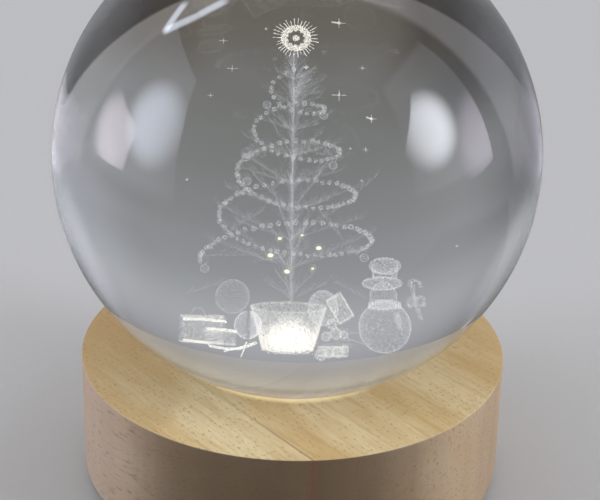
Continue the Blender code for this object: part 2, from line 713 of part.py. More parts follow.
def led_board_resistors():
    """One chip resistor for each pair of light sources, nearer the middle of the board."""
    look = material("chip_resistor", (0.05, 0.05, 0.055), 0.4)
    for number, place in enumerate(led_resistor_places, 1):
        radial_box(f"led_resistor_{number}", place, RESISTOR_WIDTH, RESISTOR_LENGTH,
                   led_z, led_z + RESISTOR_HEIGHT, look)


def rounded_rectangle(low, high, radius):
    """Outline of a plate with round corners."""
    points = arc((high[0] - radius, high[1] - radius), radius, 0, 90, 3)
    points += arc((low[0] + radius, high[1] - radius), radius, 90, 180, 3)
    points += arc((low[0] + radius, low[1] + radius), radius, 180, 270, 3)
    points += arc((high[0] - radius, low[1] + radius), radius, 270, 360, 3)
    return points


def control_board():
    """Small green circuit board that carries the inlet and the push switch."""
    look = material("green_board", (0.03, 0.22, 0.10), 0.35)
    bm = bmesh.new()
    outline = rounded_rectangle((-control_board_half, control_board_front_y),
                                (control_board_half, control_board_rear_y),
                                CONTROL_BOARD_CORNER)
    add_prism(bm, outline, control_board_z, control_board_top_z)
    board = finished(bm, "control_board", look)
    low = control_board_z - OVERRUN
    high = control_board_top_z + OVERRUN
    holes = rods("boss_clearance", boss_places, SMALL_SCREW_RADIUS + FIT_GAP, low, high)
    combine(board, holes, "DIFFERENCE")
    holes = rods("terminal_holes", terminal_places(), TERMINAL_RADIUS + FIT_GAP, low, high,
                 PIN_SEGMENTS)
    combine(board, holes, "DIFFERENCE")
    bm = bmesh.new()
    for leg_low, leg_high in leg_boxes():
        add_box(bm, (leg_low[0] - FIT_GAP, leg_low[1] - FIT_GAP, low),
                (leg_high[0] + FIT_GAP, leg_high[1] + FIT_GAP, high))
    combine(board, finished(bm, "leg_slots"), "DIFFERENCE")


def control_board_screws():
    """Two small screws that fix the control board to the cover's bosses."""
    look = material("small_screw_steel", (0.60, 0.60, 0.58), 0.35, 1.0)
    low = control_board_top_z + SOLDER_GAP
    top = low + SMALL_SCREW_HEAD_HEIGHT
    profile = [(0, small_screw_low_z), (SMALL_SCREW_RADIUS, small_screw_low_z),
               (SMALL_SCREW_RADIUS, low), (SMALL_SCREW_HEAD_RADIUS, low),
               (SMALL_SCREW_HEAD_RADIUS, top), (0, top)]
    turned_copies("control_board_screw", profile, boss_places, SMALL_SEGMENTS, look)


def control_parts():
    """Two chip resistors and a smoothing capacitor on the control board."""
    resistor_look = material("control_resistor", (0.05, 0.05, 0.055), 0.4)
    capacitor_look = material("capacitor_case", (0.72, 0.52, 0.16), 0.45)
    row_y = control_board_front_y + 2 * LEAD_PAD_EDGE
    capacitor_x = BUTTON_X
    for number, x in enumerate((INLET_X - RESISTOR_LENGTH, INLET_X + RESISTOR_LENGTH), 1):
        box(f"control_resistor_{number}", (x - RESISTOR_LENGTH / 2, row_y, part_z),
            (x + RESISTOR_LENGTH / 2, row_y + RESISTOR_WIDTH, part_z + RESISTOR_HEIGHT),
            resistor_look)
    box("control_capacitor",
        (capacitor_x - CAPACITOR_LENGTH / 2, row_y - CAPACITOR_WIDTH / 2, part_z),
        (capacitor_x + CAPACITOR_LENGTH / 2, row_y + CAPACITOR_WIDTH / 2,
         part_z + CAPACITOR_HEIGHT), capacitor_look)


def terminal_places():
    """Two rows of three pins below the push switch."""
    middle_y = switch_front_y - SWITCH_LENGTH / 2
    places = []
    for side in (-1, 1):
        for row in (-1, 0, 1):
            places.append((BUTTON_X + side * TERMINAL_ROW, middle_y + row * TERMINAL_PITCH))
    return places


def switch_terminals():
    """Six soldered pins of the push switch, through the control board."""
    look = material("pin_tin", (0.75, 0.75, 0.74), 0.3, 1.0)
    low = control_board_z - TERMINAL_PROUD
    profile = [(0, low), (TERMINAL_RADIUS, low), (TERMINAL_RADIUS, control_board_top_z),
               (0, control_board_top_z)]
    turned_copies("switch_terminal", profile, terminal_places(), PIN_SEGMENTS, look)


def switch_body():
    """Square case of the latching push switch, with the bore that its stem runs in."""
    look = material("switch_case", (0.04, 0.04, 0.045), 0.45)
    half = SWITCH_WIDTH / 2
    bm = bmesh.new()
    add_box(bm, (BUTTON_X - half, switch_front_y - SWITCH_LENGTH, part_z),
            (BUTTON_X + half, switch_front_y, part_z + SWITCH_HEIGHT))
    bmesh.ops.bevel(bm, geom=bm.edges[:], offset=SWITCH_EDGE_BREAK, segments=1, profile=0.5,
                    affect="EDGES", material=-1)
    body = finished(bm, "switch_body", look)
    bore = STEM_SIDE / 2 + FIT_GAP
    cutter = box("stem_bore",
                 (BUTTON_X - bore, switch_front_y - switch_bore_depth, rear_axis_z - bore),
                 (BUTTON_X + bore, switch_front_y + OVERRUN, rear_axis_z + bore))
    combine(body, cutter, "DIFFERENCE")


def switch_stem():
    """Square stem that carries the button cap and slides in the switch."""
    look = material("stem_plastic", (0.85, 0.85, 0.83), 0.4)
    half = STEM_SIDE / 2
    stem = box("switch_stem", (-half, stem_rear_y - bezel_back_y, -half),
               (half, stem_front_y - bezel_back_y, half), look)
    stem.location = (BUTTON_X, bezel_back_y, rear_axis_z)


def button_cap():
    """Round push button with a retaining lip behind the bezel and a socket for the stem."""
    look = material("button_plastic", (0.04, 0.04, 0.042), 0.35)
    skirt_radius = cap_lip_radius - CAP_LIP
    skirt = cap_skirt_y - bezel_back_y
    lip = cap_lip_y - bezel_back_y
    top = cap_top_y - bezel_back_y
    dome = arc((CAP_RADIUS - CAP_ROUND, top - CAP_ROUND), CAP_ROUND, 0, 90, 4)
    profile = [(0, skirt), (skirt_radius, skirt), (skirt_radius, lip), (cap_lip_radius, lip),
               (cap_lip_radius, lip + CAP_LIP_THICKNESS), (CAP_RADIUS, lip + CAP_LIP_THICKNESS)]
    cap = turned("button_cap", profile + dome + [(0, top)], CAP_SEGMENTS, look)
    cap.rotation_euler = (-QUARTER_TURN, 0, 0)
    cap.location = (BUTTON_X, bezel_back_y, rear_axis_z)
    half = STEM_SIDE / 2 + FIT_GAP
    socket = box("cap_socket", (BUTTON_X - half, cap_skirt_y - OVERRUN, rear_axis_z - half),
                 (BUTTON_X + half, cap_skirt_y + CAP_SOCKET_DEPTH, rear_axis_z + half))
    combine(cap, socket, "DIFFERENCE")


def rear_bezel():
    """Moulded plate in the rear window, curved like the base, round inlet and button."""
    look = material("bezel_plastic", (0.05, 0.05, 0.052), 0.45)
    bm = bmesh.new()
    outline = obround(window_half_width - FIT_GAP, window_half_height - FIT_GAP, (0, rear_axis_z))
    add_prism(bm, outline, bezel_back_y, BASE_RADIUS + OVERRUN, True)
    bezel = finished(bm, "rear_bezel", look)
    face = turned("bezel_face", [(0, 0), (bezel_face_radius, 0), (bezel_face_radius, wood_top_z),
                                 (0, wood_top_z)], BASE_SEGMENTS)
    combine(bezel, face, "INTERSECT")
    bm = bmesh.new()
    mouth = obround(SHELL_WIDTH / 2 + FIT_GAP, SHELL_HEIGHT / 2 + FIT_GAP, (INLET_X, rear_axis_z))
    add_prism(bm, mouth, bezel_back_y - OVERRUN, BASE_RADIUS + OVERRUN, True)
    combine(bezel, finished(bm, "inlet_mouth"), "DIFFERENCE")
    bm = bmesh.new()
    hole = arc((BUTTON_X, rear_axis_z), cap_hole_radius, 0, 360, CAP_SEGMENTS)[:-1]
    add_prism(bm, hole, bezel_back_y - OVERRUN, BASE_RADIUS + OVERRUN, True)
    combine(bezel, finished(bm, "button_hole"), "DIFFERENCE")


def leg_boxes():
    """Corners of the sleeve's four solder legs, which pass through the control board."""
    boxes = []
    for side in (-1, 1):
        inner = INLET_X + side * (SHELL_WIDTH / 2 - SHELL_WALL)
        outer = INLET_X + side * SHELL_WIDTH / 2
        for share in LEG_ROW_SHARES:
            low_y = shell_rear_y + share * (control_board_rear_y - shell_rear_y)
            boxes.append(((min(inner, outer), low_y, control_board_z - LEG_PROUD),
                          (max(inner, outer), low_y + LEG_LENGTH, rear_axis_z)))
    return boxes


def inlet_shell():
    """Drawn metal sleeve of the power inlet, open at the rear face of the lamp."""
    look = material("inlet_steel", (0.70, 0.70, 0.71), 0.25, 1.0)
    bm = bmesh.new()
    add_prism(bm, obround(SHELL_WIDTH / 2, SHELL_HEIGHT / 2, (INLET_X, rear_axis_z)),
              shell_rear_y, shell_front_y, True)
    shell = finished(bm, "inlet_shell", look)
    bm = bmesh.new()
    for low, high in leg_boxes():
        add_box(bm, low, high)
    combine(shell, finished(bm, "shell_legs"), "UNION")
    bm = bmesh.new()
    inside = obround(SHELL_WIDTH / 2 - SHELL_WALL, SHELL_HEIGHT / 2 - SHELL_WALL,
                     (INLET_X, rear_axis_z))
    add_prism(bm, inside, shell_rear_y - OVERRUN, shell_front_y + OVERRUN, True)
    combine(shell, finished(bm, "shell_inside"), "DIFFERENCE")


def inlet_insulator():
    """Moulded insulator: tail block on the board, plug in the sleeve, and tongue."""
    look = material("inlet_plastic", (0.02, 0.02, 0.022), 0.5)
    half_width = SHELL_WIDTH / 2 - SHELL_WALL - FIT_GAP
    half_height = SHELL_HEIGHT / 2 - SHELL_WALL - FIT_GAP
    plug_front_y = shell_rear_y + INSULATOR_DEPTH
    tail_y = shell_rear_y - INSULATOR_TAIL
    shell_low_z = rear_axis_z - SHELL_HEIGHT / 2
    bm = bmesh.new()
    add_prism(bm, obround(half_width, half_height, (INLET_X, rear_axis_z)),
              tail_y, plug_front_y, True)
    insulator = finished(bm, "inlet_insulator", look)
    tail_half = half_width - FIT_GAP
    tail = box("insulator_tail", (INLET_X - tail_half, tail_y - INSULATOR_TAIL, part_z),
               (INLET_X + tail_half, shell_rear_y - FIT_GAP, rear_axis_z + half_height - SOLDER_GAP))
    combine(insulator, tail, "UNION")
    foot = box("insulator_foot", (INLET_X - tail_half, tail_y, part_z),
               (INLET_X + tail_half, plug_front_y, shell_low_z - FIT_GAP))
    combine(insulator, foot, "UNION")
    tongue = box("insulator_tongue", (INLET_X - TONGUE_WIDTH / 2, plug_front_y - OVERRUN,
                                      rear_axis_z - TONGUE_THICKNESS / 2),
                 (INLET_X + TONGUE_WIDTH / 2, shell_front_y - TONGUE_RECESS,
                  rear_axis_z + TONGUE_THICKNESS / 2))
    combine(insulator, tongue, "UNION")


def inlet_contacts():
    """Gold strips along both faces of the tongue."""
    look = material("contact_gold", (0.90, 0.68, 0.28), 0.25, 1.0)
    low_y = shell_rear_y + INSULATOR_DEPTH + FIT_GAP
    high_y = shell_front_y - TONGUE_RECESS - FIT_GAP
    for face, side in (("upper", 1), ("lower", -1)):
        inner = rear_axis_z + side * (TONGUE_THICKNESS / 2 + SOLDER_GAP)
        outer = inner + side * CONTACT_THICKNESS
        for index in range(CONTACT_COUNT):
            x = INLET_X + (index - (CONTACT_COUNT - 1) / 2) * CONTACT_PITCH
            box(f"{face}_contact_{index + 1}", (x - CONTACT_WIDTH / 2, low_y, min(inner, outer)),
                (x + CONTACT_WIDTH / 2, high_y, max(inner, outer)), look)


def smooth_route(points, step):
    """Points at an even step along a smooth curve through a route's own points."""
    ends = [points[0]] + points + [points[-1]]
    fine = []
    for before, start, end, after in zip(ends, ends[1:], ends[2:], ends[3:]):
        count = max(2, round(math.dist(start, end) / step))
        for index in range(count):
            t = index / count
            fine.append(tuple(
                0.5 * (2 * q + (r - p) * t + (2 * p - 5 * q + 4 * r - s) * t ** 2
                       + (3 * q - p - 3 * r + s) * t ** 3)
                for p, q, r, s in zip(before, start, end, after)))
    return fine + [points[-1]]


def lead(name, side, colour):
    """Insulated lead from the control board, round the pocket, up to the light board."""
    look = material(name + "_insulation", colour, 0.45)
    low_z = cover_top_z + RIB_HEIGHT + LEAD_RADIUS
    start_z = control_board_top_z + FIT_GAP
    end_z = led_board_z - FIT_GAP
    high_z = end_z - 2 * LEAD_RADIUS
    pad = (side * LEAD_PAD_X, control_board_front_y + LEAD_PAD_EDGE)
    route = [(*pad, start_z), (*pad, start_z + 2 * LEAD_RADIUS)]
    for across, along, up in LEAD_ROUTE_SHARES:
        route.append((side * across * led_circle, along * led_circle,
                      low_z + up * (high_z - low_z)))
    route.append((*route[-1][:2], end_z))
    curve = tube_curve(name, smooth_route(route, LEAD_STEP), LEAD_RADIUS, 2)
    curve.materials.append(look)
    obj = bpy.data.objects.new(name, curve)
    bpy.context.scene.collection.objects.link(obj)


for old in list(bpy.data.objects):
    bpy.data.objects.remove(old, do_unlink=True)

crystal_ball()
wooden_base()
led_board()
light_sources()
led_board_resistors()
led_board_screws()
lead("lead_red", -1, (0.60, 0.03, 0.02))
lead("lead_black", 1, (0.02, 0.02, 0.02))
control_board()
control_board_screws()
control_parts()
switch_body()
switch_terminals()
switch_stem()
button_cap()
inlet_shell()
inlet_insulator()
inlet_contacts()
rear_bezel()
bottom_cover()
cover_screws()
rubber_feet()
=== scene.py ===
"""Looks of the crystal ball lamp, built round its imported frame.

Metres, +Z up, the front is -Y. The sections follow the lamp as it is put together:
wooden base, cover, electric parts, rear fittings, glass ball, the picture in the glass
and the studio round it.
"""

import math
import random

import bmesh
import bpy
from mathutils import Matrix, Vector


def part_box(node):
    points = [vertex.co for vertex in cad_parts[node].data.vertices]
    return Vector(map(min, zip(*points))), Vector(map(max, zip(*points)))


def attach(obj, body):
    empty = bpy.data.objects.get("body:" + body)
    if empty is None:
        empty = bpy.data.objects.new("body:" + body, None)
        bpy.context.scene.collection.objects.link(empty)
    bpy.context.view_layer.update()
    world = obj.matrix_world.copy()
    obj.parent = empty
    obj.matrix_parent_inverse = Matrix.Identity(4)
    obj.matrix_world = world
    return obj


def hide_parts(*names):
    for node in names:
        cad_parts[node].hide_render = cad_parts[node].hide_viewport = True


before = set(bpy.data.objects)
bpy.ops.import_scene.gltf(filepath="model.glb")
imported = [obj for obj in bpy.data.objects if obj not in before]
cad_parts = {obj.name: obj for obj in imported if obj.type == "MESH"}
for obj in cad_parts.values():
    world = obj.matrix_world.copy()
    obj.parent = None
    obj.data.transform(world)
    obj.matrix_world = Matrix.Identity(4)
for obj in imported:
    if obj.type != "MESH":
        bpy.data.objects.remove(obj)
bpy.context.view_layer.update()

# Wooden base: one disc of pale rubberwood, glued up from boards and turned on a lathe,
# with a seat and a light well in its top. The pocket for the electronics is milled out
# from below, and a window for the inlet and the button is cut through the rear wall.
WOOD_RADIUS = 0.03625
WOOD_LOW = 0.0010
WOOD_TOP = 0.0230
SEAT_DROP = 0.00025
WELL_RADIUS = 0.01815
WELL_WALL_RADIUS = 0.01765
POCKET_RADIUS = 0.0285
POCKET_ROOF = 0.0115
REBATE_RADIUS = 0.0330
REBATE_TOP = 0.0033
TOP_BREAK = 0.0002
LOW_ROUND = 0.0018
LATHE_STEPS = 256
REAR_AXIS_Z = 0.0082
BAY_HALF, BAY_REACH = 0.0101, 0.0300
WINDOW_HALF, WINDOW_HALF_HEIGHT, WINDOW_REACH = 0.01097, 0.0043, 0.0320
SLOT_HALF, SLOT_HALF_HEIGHT = 0.00977, 0.0031
ACROSS_GRAIN = (0.7705, 0.6374, 0.0)
ALONG_GRAIN = (0.6374, -0.7705, 0.0)
GRAIN_ANGLE = math.radians(-50.4)
GRAIN_TILT = math.radians(7)
GLUE_LINE = 0.02025
CREAM, GOLD, BROWN = (0.88, 0.73, 0.42), (0.68, 0.46, 0.18), (0.46, 0.30, 0.13)
STREAK, PORE = (0.52, 0.32, 0.12), (0.34, 0.17, 0.07)


def quarter(centre, radius, first, last, steps):
    """Points of an arc in a profile of (radius, height), angles in degrees."""
    turns = [math.radians(first + (last - first) * i / steps) for i in range(steps + 1)]
    return [(centre[0] + radius * math.cos(t), centre[1] + radius * math.sin(t)) for t in turns]


def lathe(bm, profile, steps, closed=True, place=Matrix()):
    """Spin a profile of (radius, height) points once round an upright axis."""
    verts = [bm.verts.new((radius, 0, height)) for radius, height in profile]
    edges = [bm.edges.new(pair) for pair in zip(verts, verts[1:])]
    if closed:
        edges.append(bm.edges.new((verts[-1], verts[0])))
    bmesh.ops.spin(bm, geom=verts + edges, cent=(0, 0, 0), axis=(0, 0, 1), dvec=(0, 0, 0),
                   angle=math.tau, steps=steps, use_merge=True)
    bmesh.ops.transform(bm, matrix=place, verts=bm.verts)


def piece(bm, name, look=None, sharp=35):
    """Weld a bmesh, turn its faces outwards, shade it and link it as an object."""
    bmesh.ops.remove_doubles(bm, verts=bm.verts, dist=0.0000005)
    bmesh.ops.recalc_face_normals(bm, faces=bm.faces)
    mesh = bpy.data.meshes.new(name)
    bm.to_mesh(mesh)
    bm.free()
    mesh.shade_smooth()
    mesh.set_sharp_from_angle(angle=math.radians(sharp))
    made = bpy.data.objects.new(name, mesh)
    bpy.context.scene.collection.objects.link(made)
    if look:
        mesh.materials.append(look)
    return made


def carve(target, cutter, operation="DIFFERENCE", sharp=35):
    """Cut or trim one form with another for good, and drop the cutter."""
    modifier = target.modifiers.new("cut", "BOOLEAN")
    modifier.operation = operation
    modifier.solver = "EXACT"
    modifier.object = cutter
    bpy.context.view_layer.update()
    finished = bpy.data.meshes.new_from_object(
        target.evaluated_get(bpy.context.evaluated_depsgraph_get()))
    target.modifiers.clear()
    target.data = finished
    bpy.data.objects.remove(cutter)
    finished.shade_smooth()
    finished.set_sharp_from_angle(angle=math.radians(sharp))


def block(bm, centre, size):
    """Add a box."""
    bmesh.ops.create_cube(bm, size=1,
                          matrix=Matrix.Translation(centre) @ Matrix.Diagonal((*size, 1)))


def round_ended(half_width, half_height, centre_x, low_y, high_y):
    """A round-ended bar along Y at the height of the rear fittings."""
    bm = bmesh.new()
    straight = half_width - half_height
    right = quarter((centre_x + straight, REAR_AXIS_Z), half_height, -90, 90, 24)
    left = quarter((centre_x - straight, REAR_AXIS_Z), half_height, 90, 270, 24)
    face = bm.faces.new([bm.verts.new((x, low_y, z)) for x, z in right + left])
    grown = bmesh.ops.extrude_face_region(bm, geom=[face])["geom"]
    moved = [item for item in grown if isinstance(item, bmesh.types.BMVert)]
    bmesh.ops.translate(bm, verts=moved, vec=(0, high_y - low_y, 0))
    return bm


def add_node(near, kind, inputs=None, **settings):
    """Add a node to the tree of a socket or node, and fill its inputs with values or links."""
    tree = near.id_data
    made = tree.nodes.new(kind)
    for name, value in settings.items():
        setattr(made, name, value)
    for name, value in (inputs or {}).items():
        if isinstance(value, bpy.types.NodeSocket):
            tree.links.new(value, made.inputs[name])
        else:
            made.inputs[name].default_value = value
    return made


def new_look(name, colour=(0.8, 0.8, 0.8), roughness=0.5, metallic=0.0):
    """A material, its Principled shader and the object's own coordinates."""
    look = bpy.data.materials.new(name)
    look.use_nodes = True
    shader = look.node_tree.nodes["Principled BSDF"]
    shader.inputs["Base Color"].default_value = (*colour, 1.0)
    shader.inputs["Roughness"].default_value = roughness
    shader.inputs["Metallic"].default_value = metallic
    return look, shader, add_node(shader, "ShaderNodeTexCoord").outputs["Object"]


def feed(shader, name, value):
    """Link a value into one of a shader's inputs."""
    shader.id_data.links.new(value, shader.inputs[name])


def vector_maths(operation, one, other=(0.0, 0.0, 0.0)):
    """Calculate with coordinates; length and dot product give a value."""
    made = add_node(one, "ShaderNodeVectorMath", {0: one, 1: other}, operation=operation)
    return made.outputs[1 if operation in ("LENGTH", "DOT_PRODUCT") else 0]


def along(vector, direction):
    """How far a coordinate or a normal reaches in a direction."""
    return vector_maths("DOT_PRODUCT", vector, direction)


def scaled(vector, amounts):
    """Stretch a coordinate by its own amount along each axis."""
    return vector_maths("MULTIPLY", vector, amounts)


def split(vector):
    """The X, Y and Z of a coordinate."""
    return add_node(vector, "ShaderNodeSeparateXYZ", {0: vector}).outputs


def noise(vector, scale, detail=2.0, rough=0.5):
    """Soft random values from 0 to 1, with one scale or one for each axis."""
    if isinstance(scale, tuple):
        vector, scale = scaled(vector, scale), 1.0
    return add_node(vector, "ShaderNodeTexNoise", {"Vector": vector, "Scale": scale,
                    "Detail": detail, "Roughness": rough}).outputs["Fac"]


def ramp(value, low, high, start=0.0, end=1.0):
    """Spread a value smoothly from start to end as it goes from low to high."""
    return add_node(value, "ShaderNodeMapRange", {"Value": value, "From Min": low,
                    "From Max": high, "To Min": start, "To Max": end},
                    interpolation_type="SMOOTHSTEP").outputs["Result"]


def blend(factor, one, other, kind="MIX"):
    """Mix two colours by a factor."""
    one, other = (value if isinstance(value, bpy.types.NodeSocket) else (*value, 1.0)
                  for value in (one, other))
    return add_node(factor, "ShaderNodeMix", {0: factor, 6: one, 7: other}, data_type="RGBA",
                    blend_type=kind).outputs[2]


def maths(operation, one, other=0.0):
    """Calculate with one or two values."""
    return add_node(one, "ShaderNodeMath", {0: one, 1: other}, operation=operation).outputs[0]


def times(one, other):
    """Multiply a value."""
    return maths("MULTIPLY", one, other)


def roughen(shader, relief, strength, depth):
    """Give a surface a fine relief."""
    feed(shader, "Normal", add_node(shader, "ShaderNodeBump", {
        "Height": relief, "Strength": strength, "Distance": depth}).outputs[0])


look, shader, place = new_look("rubberwood")
from_glue = maths("ADD", along(place, ACROSS_GRAIN), GLUE_LINE)
off_glue = maths("ABSOLUTE", from_glue)
board = maths("GREATER_THAN", from_glue)
moved = vector_maths("ADD", place, scaled(board, (0.31, 0.17, 0.23)))
grain = add_node(place, "ShaderNodeMapping", {"Vector": moved,
                 "Rotation": (0.0, GRAIN_TILT, -GRAIN_ANGLE)}).outputs[0]
warp = noise(grain, (14, 60, 60), 2.0)
bent = vector_maths("ADD", grain, scaled(warp, (0, 0.004, 0.004)))
bands = noise(bent, (26, 150, 110), 3.0, 0.55)
streaks = noise(bent, (30, 900, 700), 3.0, 0.6)
fibre = noise(bent, (150, 4200, 4200), 2.0, 0.6)
cloud = noise(bent, (55, 60, 60), 3.0)
dashes = noise(bent, (420, 2300, 2300), 1.0)
upright_bands = noise(place, (170, 170, 9), 2.0)
spots = add_node(place, "ShaderNodeTexVoronoi", {"Vector": scaled(bent, (760, 4000, 4000)),
                 "Scale": 1.0}).outputs
chance = maths("ADD", split(spots["Color"])[0], noise(bent, (45, 180, 180), 1.0))
pore = times(ramp(spots["Distance"], 0.36, 0.14), ramp(chance, 0.98, 1.24))
facing = add_node(place, "ShaderNodeNewGeometry").outputs["Normal"]
wall = ramp(maths("ABSOLUTE", split(facing)["Z"]), 0.9, 0.3)
end = ramp(maths("ABSOLUTE", along(facing, ALONG_GRAIN)), 0.45, 0.95, 0.0, 0.30)
# Painted shade: the front of the wall, which lies between the two side lights, is painted darker.
painted_front_shade = ramp(along(facing, (-0.09, -0.996, 0.0)), 0.60, 0.98, 0.0, 0.72)
# Painted light: the side of the wall that faces the left light is painted lighter.
painted_left_light = ramp(along(facing, (-1.0, 0.0, 0.0)), 0.5, 0.95, 0.0, 0.5)
seam = times(ramp(off_glue, 0.00030, 0.00005, 0.0, 0.55),
             ramp(along(place, (0.0, -1.0, 0.0)), 0.020, 0.030, 0.15, 1.0))
tone = blend(ramp(bands, 0.30, 0.70, 0.15, 1.0), GOLD, CREAM)
for share, stain in (
        (ramp(cloud, 0.48, 0.70, 0.0, 0.40), (0.50, 0.34, 0.15)),
        (ramp(streaks, 0.45, 0.72, 0.0, 0.45), STREAK),
        (ramp(fibre, 0.35, 0.70, 0.0, 0.25), STREAK),
        (times(board, 0.10), GOLD),
        (ramp(along(place, (-0.60, 0.80, 0.0)), -0.012, 0.030, 0.0, 0.95), BROWN),
        (ramp(along(place, (0.85, 0.50, 0.0)), 0.006, 0.034, 0.0, 0.60), BROWN),
        (times(pore, 0.80), PORE),
        (end, (0.42, 0.28, 0.18)),
        (times(wall, 0.55), (0.50, 0.37, 0.265)),
        (times(wall, ramp(upright_bands, 0.4, 0.65, 0.0, 0.35)), (0.36, 0.25, 0.16)),
        # painted shade on the front of the wall
        (times(wall, painted_front_shade), (0.12, 0.075, 0.038)),
        # painted light on the side of the wall that faces left
        (times(wall, painted_left_light), (0.56, 0.44, 0.36)),
        (times(wall, ramp(dashes, 0.60, 0.72, 0.0, 0.5)), (0.20, 0.12, 0.07)),
        (times(wall, ramp(off_glue, 0.0011, 0.0001, 0.0, 0.45)), (0.30, 0.13, 0.09)),
        (seam, (0.28, 0.12, 0.07))):
    tone = blend(share, tone, stain)
feed(shader, "Base Color", tone)
feed(shader, "Roughness", ramp(fibre, 0.2, 0.8, 0.42, 0.60))
roughen(shader, maths("SUBTRACT", times(fibre, 0.35), pore), 0.12, 0.0001)
# Painted glow: the wood round the seat glows warm, more towards the front left, standing in for the
# light of the base coming up round the ball.
painted_seat_glow = times(ramp(vector_maths("LENGTH", scaled(place, (1, 1, 0))), 0.0198, 0.0179),
             ramp(along(place, (-0.6, -0.8, 0.0)), -0.01, 0.018, 0.3, 1.0))
feed(shader, "Emission Strength", times(painted_seat_glow, 0.50))
shader.inputs["Emission Color"].default_value = (1.0, 0.80, 0.42, 1.0)

bm = bmesh.new()
profile = [(WELL_RADIUS, WOOD_TOP)]
profile += quarter((WOOD_RADIUS - TOP_BREAK, WOOD_TOP - TOP_BREAK), TOP_BREAK, 90, 0, 4)
profile += quarter((WOOD_RADIUS - LOW_ROUND, WOOD_LOW + LOW_ROUND), LOW_ROUND, 0, -90, 10)
profile += [(REBATE_RADIUS, WOOD_LOW), (REBATE_RADIUS, REBATE_TOP), (POCKET_RADIUS, REBATE_TOP),
            (POCKET_RADIUS, POCKET_ROOF), (WELL_WALL_RADIUS, POCKET_ROOF),
            (WELL_WALL_RADIUS, WOOD_TOP - SEAT_DROP)]
lathe(bm, profile, LATHE_STEPS)
base = piece(bm, "turned_base", look)
bm = bmesh.new()
block(bm, (0, BAY_REACH / 2, POCKET_ROOF / 2), (2 * BAY_HALF, BAY_REACH, POCKET_ROOF))
carve(base, piece(bm, "bay_cutter"))
carve(base, piece(round_ended(WINDOW_HALF, WINDOW_HALF_HEIGHT, 0, WINDOW_REACH, 2 * WOOD_RADIUS),
                  "window_cutter"))
carve(base, piece(round_ended(SLOT_HALF, SLOT_HALF_HEIGHT, 0, BAY_REACH - LOW_ROUND,
                              2 * WINDOW_REACH), "slot_cutter"))
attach(base, "base")
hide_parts("wooden_base")

# Bottom cover: one black moulding with a fine spark-eroded face. Its posts take the four
# screws, its pegs and bosses carry the control board, and its rib centres it in the wood.


def dress(look, *names):
    """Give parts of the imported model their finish."""
    for name in names:
        for slot in bpy.data.objects[name].material_slots:
            slot.material = look


def numbered(name, count):
    """Names of like parts, from 1."""
    return [f"{name}_{number}" for number in range(1, count + 1)]


def skin(shader, colour, grain, low, high, strength, depth):
    """Colour a surface, and let one fine grain vary its roughness and its relief."""
    feed(shader, "Base Color", colour)
    feed(shader, "Roughness", ramp(grain, 0.3, 0.7, low, high))
    roughen(shader, grain, strength, depth)


look, shader, place = new_look("cover_plastic")
mould = noise(place, 5200.0, 4.0, 0.7)
flow = blend(noise(place, 120.0), (0.022, 0.022, 0.024), (0.034, 0.033, 0.034))
skin(shader, flow, mould, 0.42, 0.62, 0.5, 0.00004)
dress(look, "bottom_cover")

# Feet: four round pads of soft dark rubber, glued into the cover's recesses, with a
# rounded lower edge and a shallow ring pressed into the face that they stand on.
FOOT_CIRCLE, FOOT_RADIUS, FOOT_TOP, FOOT_ROUND = 0.0265, 0.0040, 0.0015, 0.0004
RING_RADIUS, RING_HALF, RING_DEEP = 0.0027, 0.0003, 0.0002

look, shader, place = new_look("foot_rubber", roughness=0.8)
grit = noise(place, 3800.0, 3.0, 0.6)
dust = ramp(noise(place, 400.0, 4.0, 0.7), 0.45, 0.75)
skin(shader, blend(dust, (0.030, 0.030, 0.031), (0.085, 0.082, 0.078)), grit,
     0.70, 0.90, 0.5, 0.00005)
for number in range(4):
    turn = math.tau * number / 4
    bm = bmesh.new()
    profile = [(0, 0), (RING_RADIUS - RING_HALF, 0), (RING_RADIUS, RING_DEEP),
               (RING_RADIUS + RING_HALF, 0)]
    profile += quarter((FOOT_RADIUS - FOOT_ROUND, FOOT_ROUND), FOOT_ROUND, -90, 0, 6)
    profile += [(FOOT_RADIUS, FOOT_TOP), (0, FOOT_TOP)]
    out = Vector((math.cos(turn), math.sin(turn), 0))
    lathe(bm, profile, 64, False, Matrix.Translation(FOOT_CIRCLE * out))
    pad = piece(bm, f"foot_pad_{number + 1}", look)
    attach(pad, "base")
    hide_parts(f"rubber_foot_{number + 1}")

# Cover screws: four countersunk steel screws with a cross recess and rolled ridges. They
# go up through the cover's posts into the wooden roof and hold the whole bottom on.
SCREW_PLACE, SCREW_LOW, SCREW_TIP = 0.01759, 0.0013, 0.0170
HEAD_RADIUS, HEAD_HEIGHT, SHANK_RADIUS, SCREW_POINT = 0.0020, 0.0011, 0.0010, 0.0012
RIDGE_PITCH, RIDGE_DEEP = 0.0006, 0.00022
CROSS_LENGTH, CROSS_WIDTH, CROSS_DEEP = 0.0022, 0.0005, 0.0007


def steel(name, colour, roughness):
    """Plated steel with fine turning marks round the axis of each part."""
    look, shader, place = new_look(name, colour, roughness, 1.0)
    marks = noise(place, (900, 900, 9000), 3.0, 0.6)
    stain = ramp(noise(place, 700.0, 3.0), 0.4, 0.8)
    skin(shader, blend(stain, colour, tuple(0.72 * c for c in colour)), marks,
         0.7 * roughness, 1.4 * roughness, 0.3, 0.00002)
    return look


